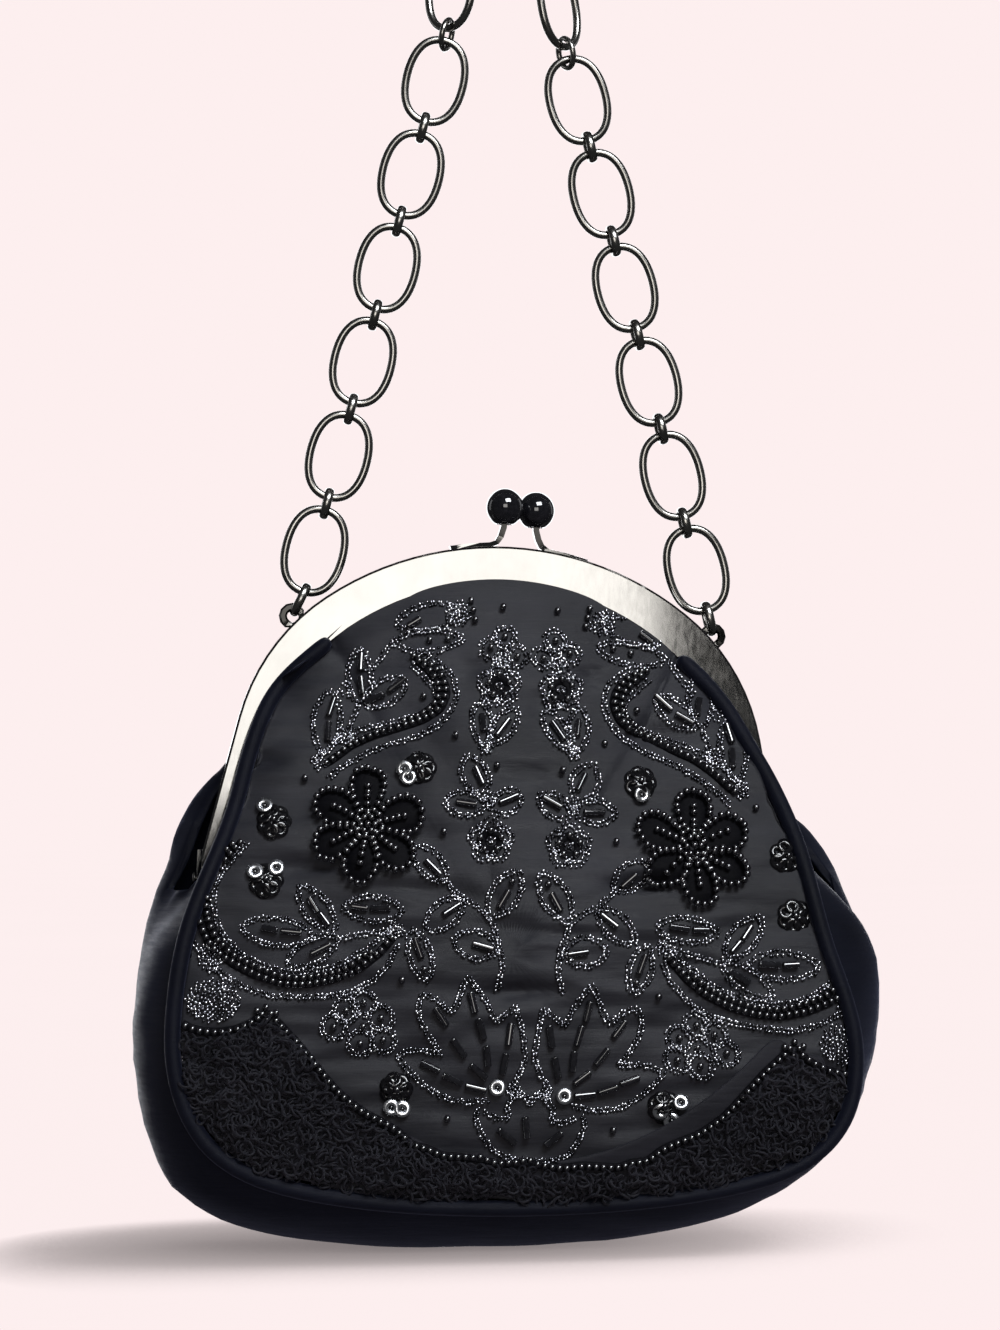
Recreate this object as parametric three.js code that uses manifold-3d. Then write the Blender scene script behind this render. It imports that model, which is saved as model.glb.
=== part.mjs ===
// Beaded evening purse: a gusseted satin pouch on a hinged metal frame with a kiss clasp,
// hanging from a handle of oval links. Millimetres, +Z up, the beaded front faces -Y.
// The origin is the grip, the underside of the handle's top link.
import * as THREE from "three";
import { mergeVertices } from "three/addons/utils/BufferGeometryUtils.js";
import Module from "manifold-3d";

const wasm = await Module();
wasm.setup();

// Driving dimensions. Bag pieces are measured from the frame's apex, in the plane where its halves meet.
const CLEARANCE = 0.3;
const FRAME = {
  topRadius: 81,
  topAngle: 36,
  shoulderRadius: 55,
  legAngle: 77.5,
  topSteps: 12,
  shoulderSteps: 9,
  legEndZ: -86,
  halfDepth: 4.6,
  seamGap: 0.25,
  sheet: 0.8,
  innerFlange: 6,
  edgeChamfer: 0.6,
};
// Width of the frame's outer face, by the angle of its edge, and at the end of the leg.
const FRAME_FACE = [
  { angle: 0, width: 9.2 },
  { angle: 41, width: 10 },
  { angle: 77.5, width: 9 },
];
const FRAME_FACE_AT_LEG_END = 5.5;
const HINGE = {
  x: 77.6,
  z: -90.5,
  tabRadius: 3,
  tabSheet: 0.9,
  holeRadius: 1.3,
  pinRadius: 1,
  headRadius: 1.9,
  headHeight: 0.8,
};
const CLASP = {
  x: 3,
  ballRadius: 5,
  ballX: 4.4,
  ballY: 2.6,
  ballZ: 10.4,
  strip: 1.1,
  stripWidth: 2.4,
  socket: 2.6,
  socketRadius: 1.7,
};
const EAR = { x: 56, z: -20.7, y: 1.6, loopRadius: 2.45, wire: 1.5 };
const LINK = { length: 25.5, width: 18, wire: 2.4, squareness: 2.3, sides: 14, wireSides: 6 };
const RING = {
  between: 2.8,
  wireRadial: 1.8,
  wireAxial: 2.8,
  halfWidth: 3,
  play: 0.3,
  sides: 10,
  wireSides: 5,
};
const CORNER_RING = { ...RING, wireAxial: 1.8, halfWidth: 3.8, play: 0.7 };
const STRAND = { links: 6, firstX: 50.9, firstZ: -3.2, leanDeg: 14.2, askewDeg: 0.4, upperTwistDeg: 45 };
const CLOTH = 1.5;
const PIPING_RADIUS = 1.5;

// The frame hangs a little askew. Below it the cloth swings back to the middle and levels out.
const ASKEW = { slope: 0.049, swingFrom: 94, swingTo: 125, levelFrom: 130, levelTo: 175 };

// Half outline of the piped seam, from the notch at the frame down to the middle of the bottom,
// with how far the seam stands before the middle plane, how far its left side is drawn in,
// and the gusset's swell beyond it at each side.
const SEAM = [
  { x: 46.2, z: -27.1, depth: 6.4, drawnLeft: 0, swellLeft: 0, swellRight: 0 },
  { x: 54.8, z: -35, depth: 6.5, drawnLeft: 0, swellLeft: 0, swellRight: 0 },
  { x: 59.8, z: -41.2, depth: 7.4, drawnLeft: 0, swellLeft: 0.5, swellRight: 0.5 },
  { x: 64, z: -48.5, depth: 10.2, drawnLeft: 0.8, swellLeft: 1.5, swellRight: 1 },
  { x: 70, z: -59, depth: 15, drawnLeft: 3.6, swellLeft: 6.5, swellRight: 5 },
  { x: 77, z: -75, depth: 20.5, drawnLeft: 7, swellLeft: 17.5, swellRight: 14.5 },
  { x: 83, z: -98, depth: 26, drawnLeft: 4, swellLeft: 16.5, swellRight: 25 },
  { x: 86.5, z: -123, depth: 29, drawnLeft: -2, swellLeft: 11, swellRight: 12 },
  { x: 84.5, z: -144, depth: 30, drawnLeft: -3, swellLeft: 11, swellRight: 6.8 },
  { x: 74, z: -159, depth: 30, drawnLeft: -2.5, swellLeft: 16.5, swellRight: 7.5 },
  { x: 49, z: -167.5, depth: 30, drawnLeft: 0, swellLeft: 15, swellRight: 12 },
  { x: 0, z: -171, depth: 30, drawnLeft: 0, swellLeft: 13, swellRight: 13 },
];
const PANEL = {
  centreZ: -108,
  crownDepth: 35,
  archEdge: 1.6,
  slotDepth: 3.2,
  archSpan: 40,
  archRays: 13,
  rings: 5,
  evenings: 36,
};
const PANEL_SEAM_RAYS = 37;
const PANEL_SEAM_FROM = 0.012;
const PANEL_HEM = 5;
const GUSSET = {
  from: 0.088,
  steps: 40,
  across: 8,
  dimple: 13,
  dimpleReach: 20,
  dimpleWidth: 0.35,
  slackFrom: 72,
  slackTo: 104,
};
const LEG_ROOM = { above: 18, inward: 13, outward: 14, below: 9 };
const PIPING_STEPS = 48;
const PIPING_FROM = 0.002;

// Raised trim on the front: two beaded flowers, and the knotted border under its scalloped line.
const FLOWER = { middle: 6.2, x: 42, z: -75, radius: 15, petals: 6, waist: 0.42, height: 2.2, lift: 0.6 };
const BORDER = {
  lift: 0.6,
  height: 0.9,
  span: 78,
  inset: 4.5,
  columns: 36,
  rows: 3,
  cuspX: 64.5,
  cuspZ: -123.5,
  endZ: -129,
  endReach: 18,
  dipZ: -159,
};

const rad = THREE.MathUtils.degToRad;
const vec = (x, y, z) => new THREE.Vector3(x, y, z);

// Where a point of the bag, drawn straight, is when the bag hangs askew.
function hang(p) {
  const { slope, swingFrom, swingTo, levelFrom, levelTo } = ASKEW;
  const swing = 1 - THREE.MathUtils.smoothstep(-p.z, swingFrom, swingTo);
  const dip = 1 - THREE.MathUtils.smoothstep(-p.z, levelFrom, levelTo);
  return vec(p.x + slope * swing * p.z, p.y, p.z - slope * dip * p.x);
}

function hung(geometry) {
  const places = geometry.getAttribute("position");
  for (let i = 0; i < places.count; i++) {
    places.setXYZ(i, ...hang(vec().fromBufferAttribute(places, i)));
  }
  return geometry;
}

// A closed triangle mesh as a geometry, turned so that its faces point out.
function closedGeometry(points, faces) {
  const volume = faces.reduce((sum, [a, b, c]) => {
    return sum + points[a].dot(points[b].clone().cross(points[c])) / 6;
  }, 0);
  const order = volume < 0 ? faces.map(([a, b, c]) => [a, c, b]) : faces;
  return new THREE.BufferGeometry().setFromPoints(points).setIndex(order.flat());
}

// A tube through rows of points. Each row is a closed ring; the rows close too, or get flat caps
// that follow the section's outline.
function sweptSolid(rows, section, closed = false) {
  const count = rows[0].length;
  const points = rows.flat();
  const faces = [];
  const last = closed ? rows.length : rows.length - 1;
  for (let i = 0; i < last; i++) {
    const next = (i + 1) % rows.length;
    for (let j = 0; j < count; j++) {
      const k = (j + 1) % count;
      const [a, b, c, d] = [i * count + j, i * count + k, next * count + k, next * count + j];
      faces.push([a, b, c], [a, c, d]);
    }
  }
  if (!closed) {
    const cap = THREE.ShapeUtils.triangulateShape(section, []);
    const turned = THREE.ShapeUtils.isClockWise(section);
    const far = points.length - section.length;
    for (const [a, b, c] of cap) {
      faces.push(turned ? [a, b, c] : [a, c, b]);
      faces.push(turned ? [far + a, far + c, far + b] : [far + a, far + b, far + c]);
    }
  }
  return closedGeometry(points, faces);
}

// A cloth wall: an open surface, its copy set back by the cloth's thickness, and walls round its edges.
function thicken({ points, faces }, thickness) {
  const sheet = new THREE.BufferGeometry().setFromPoints(points).setIndex(faces.flat());
  sheet.computeVertexNormals();
  const normals = sheet.getAttribute("normal");
  const back = points.map((p, i) => {
    return p.clone().addScaledVector(vec().fromBufferAttribute(normals, i), -thickness);
  });
  const n = points.length;
  const all = [...faces, ...faces.map(([a, b, c]) => [n + a, n + c, n + b])];
  const edges = new Set(faces.flatMap(([a, b, c]) => [`${a} ${b}`, `${b} ${c}`, `${c} ${a}`]));
  for (const edge of edges) {
    const [a, b] = edge.split(" ").map(Number);
    if (!edges.has(`${b} ${a}`)) all.push([b, a, n + a], [b, n + a, n + b]);
  }
  return closedGeometry([...points, ...back], all);
}

function gridSurface(rows) {
  const width = rows[0].length;
  const faces = [];
  for (let i = 0; i + 1 < rows.length; i++) {
    for (let j = 0; j + 1 < width; j++) {
      const a = i * width + j;
      faces.push([a, a + 1, a + width + 1], [a, a + width + 1, a + width]);
    }
  }
  return { points: rows.flat(), faces };
}

// Rings of points round a centre, the outermost ring last.
function discSurface(centre, rings) {
  const n = rings[0].length;
  const points = [centre, ...rings.flat()];
  const faces = [];
  for (let j = 0; j < n; j++) {
    const k = (j + 1) % n;
    faces.push([0, 1 + j, 1 + k]);
    for (let r = 0; r + 1 < rings.length; r++) {
      const [inner, outer] = [1 + r * n, 1 + (r + 1) * n];
      faces.push([inner + j, outer + j, outer + k], [inner + j, outer + k, inner + k]);
    }
  }
  return { points, faces };
}

function solidOf(geometry) {
  const bare = geometry.clone();
  bare.deleteAttribute("normal");
  bare.deleteAttribute("uv");
  const merged = mergeVertices(bare, 1e-4);
  return new wasm.Manifold(
    new wasm.Mesh({
      numProp: 3,
      vertProperties: merged.getAttribute("position").array,
      triVerts: new Uint32Array(merged.index.array),
    }),
  );
}

function geometryOf(solid) {
  const mesh = solid.getMesh();
  return new THREE.BufferGeometry()
    .setAttribute("position", new THREE.BufferAttribute(mesh.vertProperties, 3))
    .setIndex(new THREE.BufferAttribute(mesh.triVerts, 1));
}

function cylinderAlongX(radius, length, x, y, z, sides = 16) {
  const g = new THREE.CylinderGeometry(radius, radius, length, sides);
  return solidOf(g.rotateZ(Math.PI / 2).translate(x, y, z));
}

function boxBetween(low, high) {
  const size = high.clone().sub(low);
  const centre = low.clone().add(high).multiplyScalar(0.5);
  return solidOf(new THREE.BoxGeometry(size.x, size.y, size.z).translate(centre.x, centre.y, centre.z));
}

function tabled(rows, key, at, column) {
  const i = Math.max(1, rows.findIndex((row) => row[key] >= at));
  const [a, b] = [rows[i - 1], rows[i]];
  return THREE.MathUtils.mapLinear(at, a[key], b[key], a[column], b[column]);
}

// The frame's arch: points of its outer edge with their outward direction and the width of the face.
function archStation(angle) {
  const { topRadius, topAngle, shoulderRadius } = FRAME;
  const a = rad(angle);
  const outward = vec(Math.sin(a), 0, Math.cos(a));
  const drop = rad(Math.min(Math.abs(angle), topAngle) * Math.sign(angle));
  const shoulder = vec(Math.sin(drop), 0, Math.cos(drop)).multiplyScalar(topRadius - shoulderRadius);
  const onTop = Math.abs(angle) <= topAngle;
  const centre = onTop ? vec(0, 0, 0) : shoulder;
  const edge = centre.addScaledVector(outward, onTop ? topRadius : shoulderRadius);
  edge.z -= topRadius;
  return { edge, outward, width: tabled(FRAME_FACE, "angle", Math.abs(angle), "width") };
}

function archStations() {
  const { topAngle, legAngle, legEndZ, topSteps, shoulderSteps } = FRAME;
  const top = evenly(topSteps + 1, 0, topAngle);
  const shoulder = evenly(shoulderSteps + 1, topAngle, legAngle).slice(1);
  const right = [...top, ...shoulder].map(archStation);
  const bend = right[right.length - 1];
  const down = vec(bend.outward.z, 0, -bend.outward.x);
  const reach = (legEndZ - bend.edge.z) / down.z;
  const end = bend.edge.clone().addScaledVector(down, reach);
  right.push({ edge: end, outward: bend.outward, width: FRAME_FACE_AT_LEG_END });
  const left = right.slice(1).reverse().map(({ edge, outward, width }) => {
    return { edge: vec(-edge.x, 0, edge.z), outward: vec(-outward.x, 0, outward.z), width };
  });
  return [...left, ...right];
}

// One half of the frame is a folded channel: outer face, edge and a narrower inner flange.
function channelSection(width) {
  const { halfDepth, seamGap, sheet, innerFlange, edgeChamfer } = FRAME;
  const inner = Math.min(innerFlange, width);
  return [
    [-edgeChamfer, halfDepth],
    [-width, halfDepth],
    [-width, halfDepth - sheet],
    [-sheet, halfDepth - sheet],
    [-sheet, seamGap + sheet],
    [-inner, seamGap + sheet],
    [-inner, seamGap],
    [0, seamGap],
    [0, halfDepth - edgeChamfer],
  ].map(([n, depth]) => new THREE.Vector2(n, depth));
}

function channel(side) {
  const rows = archStations().map(({ edge, outward, width }) => {
    return channelSection(width).map(({ x: n, y: depth }) => {
      return edge.clone().addScaledVector(outward, n).add(vec(0, side * depth, 0));
    });
  });
  return solidOf(sweptSolid(rows, channelSection(FRAME_FACE_AT_LEG_END)));
}

// The hinge tabs lap: the front half's tabs lie outside the back half's.
function hingeTab(side, hand) {
  const { x, z, tabRadius, tabSheet, holeRadius } = HINGE;
  const inset = side < 0 ? 0 : tabSheet + CLEARANCE;
  const middle = hand * (x - inset);
  const half = tabSheet / 2;
  const { seamGap, halfDepth, legEndZ } = FRAME;
  const [near, far] = [side * seamGap, side * (halfDepth - 1)].sort((a, b) => a - b);
  const neck = boxBetween(vec(middle - half, near, z), vec(middle + half, far, legEndZ + 3));
  const disc = cylinderAlongX(tabRadius, tabSheet, middle, 0, z);
  const hole = cylinderAlongX(holeRadius, 4 * tabSheet, middle, 0, z);
  return neck.add(disc).subtract(hole);
}

// The clasp's strip lies on the arch, then bends up into the ball.
function claspStrip(side) {
  const { x, ballY, ballZ, strip, stripWidth, ballRadius, ballX, socket } = CLASP;
  const archZ = (out) => Math.sqrt(FRAME.topRadius ** 2 - (x + side * out) ** 2) - FRAME.topRadius;
  const route = [
    { out: 18.3, z: archZ(18.3) + 0.2 },
    { out: 13, z: archZ(13) + 0.25 },
    { out: 8, z: archZ(8) + 0.3 },
    { out: 6.2, z: 0.9 },
    { out: 5.3, z: 2.6 },
    { out: 4.6, z: 5 },
    { out: ballX, z: ballZ - ballRadius + socket - CLEARANCE },
  ];
  const rows = route.map(({ out, z }, i) => {
    const before = route[Math.max(0, i - 1)];
    const after = route[Math.min(route.length - 1, i + 1)];
    const along = vec(side * (after.out - before.out), 0, after.z - before.z).normalize();
    const across = vec(-along.z, 0, along.x).multiplyScalar(strip / 2);
    const deep = vec(0, stripWidth / 2, 0);
    const centre = vec(x + side * out, side * ballY, z);
    return [
      centre.clone().add(across).add(deep),
      centre.clone().sub(across).add(deep),
      centre.clone().sub(across).sub(deep),
      centre.clone().add(across).sub(deep),
    ];
  });
  const square = [[1, 1], [-1, 1], [-1, -1], [1, -1]].map(([a, b]) => new THREE.Vector2(a, b));
  return solidOf(sweptSolid(rows, square));
}

function ear(hand) {
  const loop = new THREE.TorusGeometry(EAR.loopRadius, EAR.wire / 2, 6, 12);
  return solidOf(loop.rotateX(Math.PI / 2).translate(hand * EAR.x, EAR.y, EAR.z));
}

function frameHalf(side) {
  let solid = channel(side).add(claspStrip(side));
  for (const hand of [-1, 1]) {
    solid = solid.add(hingeTab(side, hand));
    if (side > 0) solid = solid.add(ear(hand));
  }
  return geometryOf(solid);
}

function claspBall(side) {
  const { x, ballRadius, ballX, ballY, ballZ, socket, socketRadius } = CLASP;
  const ball = new THREE.SphereGeometry(ballRadius, 16, 10).rotateX(Math.PI / 2);
  const hole = new THREE.CylinderGeometry(socketRadius, socketRadius, 2 * socket, 12);
  const drilled = solidOf(ball).subtract(solidOf(hole.rotateX(Math.PI / 2).translate(0, 0, -ballRadius)));
  return geometryOf(drilled.translate([x + side * ballX, side * ballY, ballZ]));
}

function hingeRivet(hand) {
  const { x, z, tabSheet, pinRadius, headRadius, headHeight: head } = HINGE;
  const outer = x + tabSheet / 2 + CLEARANCE;
  const inner = x - 1.5 * tabSheet - 2 * CLEARANCE;
  const profile = [
    [0, inner - head],
    [headRadius, inner - head],
    [headRadius, inner],
    [pinRadius, inner],
    [pinRadius, outer],
    [headRadius, outer],
    [headRadius * 0.7, outer + head],
    [0, outer + head],
  ].map(([r, along]) => new THREE.Vector2(r, along));
  const pin = new THREE.LatheGeometry(profile, 12).rotateZ(-hand * Math.PI / 2).translate(0, 0, z);
  return geometryOf(solidOf(pin));
}

// The piped seam as a smooth curve from the left notch, round the bottom, to the right notch.
const seamRows = [
  ...SEAM.map(({ x, drawnLeft, swellLeft, ...row }) => ({ ...row, x: drawnLeft - x, swell: swellLeft })),
  ...SEAM.slice(0, -1).reverse().map(({ swellRight, ...row }) => ({ ...row, swell: swellRight })),
];
const seamCurve = new THREE.CatmullRomCurve3(seamRows.map(({ x, z, depth }) => vec(x, -depth, z)));
const seamSwell = new THREE.CatmullRomCurve3(seamRows.map(({ swell }, i) => vec(i, swell, 0)));

// A place on the seam: its point, the gusset's swell there and the way out of the bag in the front view.
function seamAt(t) {
  const point = seamCurve.getPoint(t);
  const along = seamCurve.getTangent(t).setY(0).normalize();
  return { point, swell: Math.max(0, seamSwell.getPoint(t).y), out: vec(along.z, 0, -along.x) };
}

function evenly(count, from = 0, to = 1) {
  return Array.from({ length: count }, (_, i) => from + ((to - from) * i) / (count - 1));
}

// The front panel runs from the frame's slot to the seam, crowned towards the middle.
// Each ray has its edge and the hem line a little inside it, both as points at their depth.
function panelRays() {
  const { archEdge, slotDepth, archSpan, archRays } = PANEL;
  const inFrame = (angle, inset) => {
    const { edge, outward } = archStation(angle);
    return edge.clone().addScaledVector(outward, -inset).setY(-slotDepth);
  };
  const arch = evenly(archRays, archSpan, -archSpan).map((angle) => ({
    edge: inFrame(angle, archEdge),
    hem: inFrame(angle, archStation(angle).width + 1.2),
  }));
  const corner = (hand) => {
    const angle = hand * (archSpan + 4);
    const inset = archStation(angle).width + 1.6;
    return { edge: inFrame(angle, inset), hem: inFrame(angle, inset + 3) };
  };
  const seam = evenly(PANEL_SEAM_RAYS, PANEL_SEAM_FROM, 1 - PANEL_SEAM_FROM).map((t) => {
    const { point, out } = seamAt(t);
    const edge = point.clone().addScaledVector(out, -PIPING_RADIUS - CLEARANCE);
    const hem = point.clone().addScaledVector(out, -PIPING_RADIUS - PANEL_HEM).add(vec(0, -1.2, 0));
    return { edge, hem };
  });
  return [...arch, corner(-1), ...seam, corner(1)];
}

function panelSurface() {
  const centre = vec(0, -PANEL.crownDepth, PANEL.centreZ);
  const rays = panelRays();
  const rings = evenly(PANEL.rings + 1).slice(1).map((share) => {
    const ring = rays.map(({ hem }) => {
      const p = centre.clone().lerp(hem, share);
      p.y = THREE.MathUtils.lerp(hem.y, centre.y, 1 - share ** 1.7);
      return p;
    });
    return evenDepths(ring, Math.round(PANEL.evenings * (1 - share)));
  });
  return discSurface(centre, [...rings, rays.map(({ edge }) => edge)]);
}

// A ring whose depths are averaged with their neighbours', so that no ray stands out as a crease.
function evenDepths(ring, times) {
  if (times === 0) return ring;
  const n = ring.length;
  const evened = ring.map((p, i) => {
    const [before, after] = [ring[(i + n - 1) % n], ring[(i + 1) % n]];
    return vec(p.x, (before.y + 2 * p.y + after.y) / 4, p.z);
  });
  return evenDepths(evened, times - 1);
}

const panelFaces = panelSurface();

// How far the front panel's face stands before the middle plane at a point of the front view.
function panelDepth(x, z) {
  for (const face of panelFaces.faces) {
    const [a, b, c] = face.map((i) => panelFaces.points[i]);
    const area = (b.x - a.x) * (c.z - a.z) - (c.x - a.x) * (b.z - a.z);
    const u = ((x - a.x) * (c.z - a.z) - (c.x - a.x) * (z - a.z)) / area;
    const v = ((b.x - a.x) * (z - a.z) - (x - a.x) * (b.z - a.z)) / area;
    if (u >= -1e-6 && v >= -1e-6 && u + v <= 1 + 1e-6) return -(a.y + u * (b.y - a.y) + v * (c.y - a.y));
  }
  throw new Error(`no panel at ${x}, ${z}`);
}

// The back panel mirrors the front one.
function panel(side) {
  const { points, faces } = panelFaces;
  const placed = points.map((p) => vec(p.x, -side * p.y, p.z));
  return thicken(facingOut({ points: placed, faces }, vec(0, side, 0)), CLOTH);
}

function facingOut({ points, faces }, way) {
  const [a, b, c] = faces[0].map((i) => points[i]);
  const normal = b.clone().sub(a).cross(c.clone().sub(a));
  return normal.dot(way) > 0 ? { points, faces } : { points, faces: faces.map(([i, j, k]) => [i, k, j]) };
}

// The gusset spans from the front seam to the back seam, swelling between them. A dimple
// under each hinge draws it in, and above the hinges the frame's legs part it into flaps,
// the front one tucked in behind the panel and only the back one full.
function gusset() {
  const { from, steps, across, dimple, dimpleReach, dimpleWidth, slackFrom, slackTo } = GUSSET;
  const rows = evenly(steps, from, 1 - from).map((t) => {
    const { point, swell, out } = seamAt(t);
    const width = -point.y - PIPING_RADIUS - CLEARANCE;
    return evenly(across + 1, -1, 1).map((w) => {
      const fall = (Math.min(0, point.z - HINGE.z) / dimpleReach) ** 2;
      const drawnIn = Math.min(dimple * Math.exp(-fall), swell) * Math.exp(-((w / dimpleWidth) ** 2));
      const low = THREE.MathUtils.smoothstep(-point.z, slackFrom, slackTo);
      const full = THREE.MathUtils.lerp(low, 1, THREE.MathUtils.smoothstep(w, -0.3, 0.2));
      const reach = swell * full * (1 - w * w) ** 0.8 - drawnIn * full;
      return point.clone().addScaledVector(out, reach).setY(w * width);
    });
  });
  const wall = solidOf(thicken(facingOut(gridSurface(rows), vec(-1, 0, 0)), CLOTH));
  return geometryOf(wall.subtract(legEnvelope(-1)).subtract(legEnvelope(1)));
}

// The room that a leg and its hinge take up, with clearance all round.
function legEnvelope(hand) {
  const { above, inward, outward: beyond, below } = LEG_ROOM;
  const deep = FRAME.halfDepth + CLEARANCE;
  const bend = archStation(FRAME.topAngle);
  const stations = archStations().filter(({ edge }) => edge.x > bend.edge.x - above);
  const last = stations[stations.length - 1];
  const down = vec(last.outward.z, 0, -last.outward.x);
  const end = { ...last, edge: last.edge.clone().addScaledVector(down, below) };
  const corners = [[-inward, -deep], [beyond, -deep], [beyond, deep], [-inward, deep]];
  const rows = [...stations, end].map(({ edge, outward }) => {
    return corners.map(([n, depth]) => {
      return edge.clone().addScaledVector(outward, n).setY(depth).multiply(vec(hand, 1, 1));
    });
  });
  return solidOf(sweptSolid(rows, corners.map(([n, depth]) => new THREE.Vector2(n, depth))));
}

// Corded piping along the seam, with a round section of six sides.
function piping(side) {
  const sides = 6;
  const rows = evenly(PIPING_STEPS, PIPING_FROM, 1 - PIPING_FROM).map((t) => {
    const point = seamCurve.getPoint(t);
    const along = seamCurve.getTangent(t);
    const deep = vec(0, 1, 0).addScaledVector(along, -along.y).normalize();
    const wide = along.clone().cross(deep);
    return evenly(sides + 1, 0, 2 * Math.PI).slice(0, sides).map((a) => {
      const p = point.clone().addScaledVector(deep, PIPING_RADIUS * Math.cos(a));
      p.addScaledVector(wide, PIPING_RADIUS * Math.sin(a));
      return p.multiply(vec(1, -side, 1));
    });
  });
  const ring = evenly(sides + 1, 0, 2 * Math.PI).slice(0, sides);
  return sweptSolid(rows, ring.map((a) => new THREE.Vector2(Math.cos(a), Math.sin(a))));
}

// A raised flower of seed-beaded petals, lying on the panel.
function flower(hand) {
  const { middle, x, z, radius, petals, waist, height, lift } = FLOWER;
  const centreX = middle + hand * x;
  const onPanel = (px, pz, above) => vec(px, -panelDepth(px, pz) - above, pz);
  const rays = evenly(petals * 4 + 1, 0, 2 * Math.PI).slice(0, -1);
  const ring = (share, above) => rays.map((a) => {
    const lobe = waist + (1 - waist) * Math.abs(Math.cos((petals * a) / 2)) ** 0.7;
    const r = share * radius * lobe;
    return onPanel(centreX + r * Math.cos(a), z + r * Math.sin(a), above);
  });
  const top = discSurface(onPanel(centreX, z, lift + height), [
    ring(0.45, lift + height),
    ring(0.85, lift + height),
    ring(1, lift + height * 0.6),
  ]);
  return thicken(facingOut(top, vec(0, -1, 0)), height * 0.55);
}

// The border's upper edge: a wide scallop across the middle between two cusps, and a short one each side.
function borderTop(x) {
  const { cuspX, cuspZ, endZ, endReach, dipZ } = BORDER;
  const across = Math.abs(x) / cuspX;
  if (across <= 1) return cuspZ + (dipZ - cuspZ) * (1 - across ** 2.1);
  const outer = (Math.abs(x) - cuspX) / endReach;
  return cuspZ + (endZ - cuspZ) * Math.sin(Math.min(1, outer) * Math.PI * 0.8);
}

function border() {
  const { lift, height, columns, rows, span, inset } = BORDER;
  const hemLine = evenly(300, 0.2, 0.8).map((t) => {
    const { point, out } = seamAt(t);
    return point.clone().addScaledVector(out, -inset);
  });
  const under = hemLine.filter((p) => p.z < PANEL.centreZ - 30);
  const bottomAt = (x) => {
    return under.reduce((best, p) => (Math.abs(p.x - x) < Math.abs(best.x - x) ? p : best)).z;
  };
  const grid = evenly(rows + 1).map((share) => {
    return evenly(columns + 1, -span, span).map((x) => {
      const z = THREE.MathUtils.lerp(borderTop(x), bottomAt(x), share);
      return vec(x, -panelDepth(x, z) - lift - height, z);
    });
  });
  return thicken(facingOut(gridSurface(grid), vec(0, -1, 0)), height);
}

// An oval link between the centres of its two end bows. side is the way its wire runs at a bow.
function link(lower, upper, side) {
  const { width, wire, squareness, sides, wireSides } = LINK;
  const centre = lower.clone().add(upper).multiplyScalar(0.5);
  const axis = upper.clone().sub(lower);
  const half = axis.length() / 2;
  axis.normalize();
  const shaped = (v) => Math.sign(v) * Math.abs(v) ** (2 / squareness);
  return loop(centre, axis, side, half, (width - wire) / 2, shaped, wire / 2, wire / 2, sides, wireSides);
}

// A closed loop of wire in the plane of axis and side.
function loop(centre, axis, side, halfLong, halfWide, shaped, wireRadial, wireAxial, sides, wireSides) {
  const normal = axis.clone().cross(side).normalize();
  const wide = normal.clone().cross(axis).normalize();
  const at = (a) => {
    const p = centre.clone().addScaledVector(axis, halfLong * shaped(Math.cos(a)));
    return p.addScaledVector(wide, halfWide * shaped(Math.sin(a)));
  };
  const rows = evenly(sides + 1, 0, 2 * Math.PI).slice(0, sides).map((a) => {
    const along = at(a + 0.01).sub(at(a - 0.01)).normalize();
    const radial = along.clone().cross(normal);
    return evenly(wireSides + 1, 0, 2 * Math.PI).slice(0, wireSides).map((b) => {
      const p = at(a).addScaledVector(radial, wireRadial * Math.cos(b));
      return p.addScaledVector(normal, wireAxial * Math.sin(b));
    });
  });
  return sweptSolid(rows, [], true);
}

// A ring that joins two wires whose centres are from and to; its plane turns between the two wires' ways.
function ring(from, to, wayA, wayB, make = RING, wireA = LINK.wire) {
  const { wireRadial, wireAxial, halfWidth, play, sides, wireSides } = make;
  const axis = to.clone().sub(from);
  const gap = axis.length();
  axis.normalize();
  const normal = wayA.clone().addScaledVector(wayB, Math.sign(wayA.dot(wayB)));
  normal.addScaledVector(axis, -normal.dot(axis)).normalize();
  const centre = from.clone().add(to).multiplyScalar(0.5).addScaledVector(axis, (LINK.wire - wireA) / 4);
  const half = gap / 2 + (wireA + LINK.wire) / 4 + wireRadial / 2 + play;
  const side = normal.clone().cross(axis);
  const round = (v) => v;
  return loop(centre, axis, side, half, halfWidth, round, wireRadial / 2, wireAxial / 2, sides, wireSides);
}

// One strand of the handle in the bag's frame, as the bow centres of its links from the ear upwards.
function strand(hand) {
  const { links, firstX, firstZ, leanDeg, askewDeg } = STRAND;
  const lean = rad(leanDeg - hand * askewDeg);
  const up = vec(-hand * Math.sin(lean), 0, Math.cos(lean));
  const first = hang(vec(hand * firstX, EAR.y, firstZ));
  const bows = LINK.length - LINK.wire;
  const pitch = bows + RING.between;
  const made = evenly(links, 0, links - 1).map((i) => {
    const centre = first.clone().addScaledVector(up, i * pitch);
    const lower = centre.clone().addScaledVector(up, -bows / 2);
    return { lower, upper: centre.clone().addScaledVector(up, bows / 2), side: vec(1, 0, 0) };
  });
  return { made, up };
}

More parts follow.
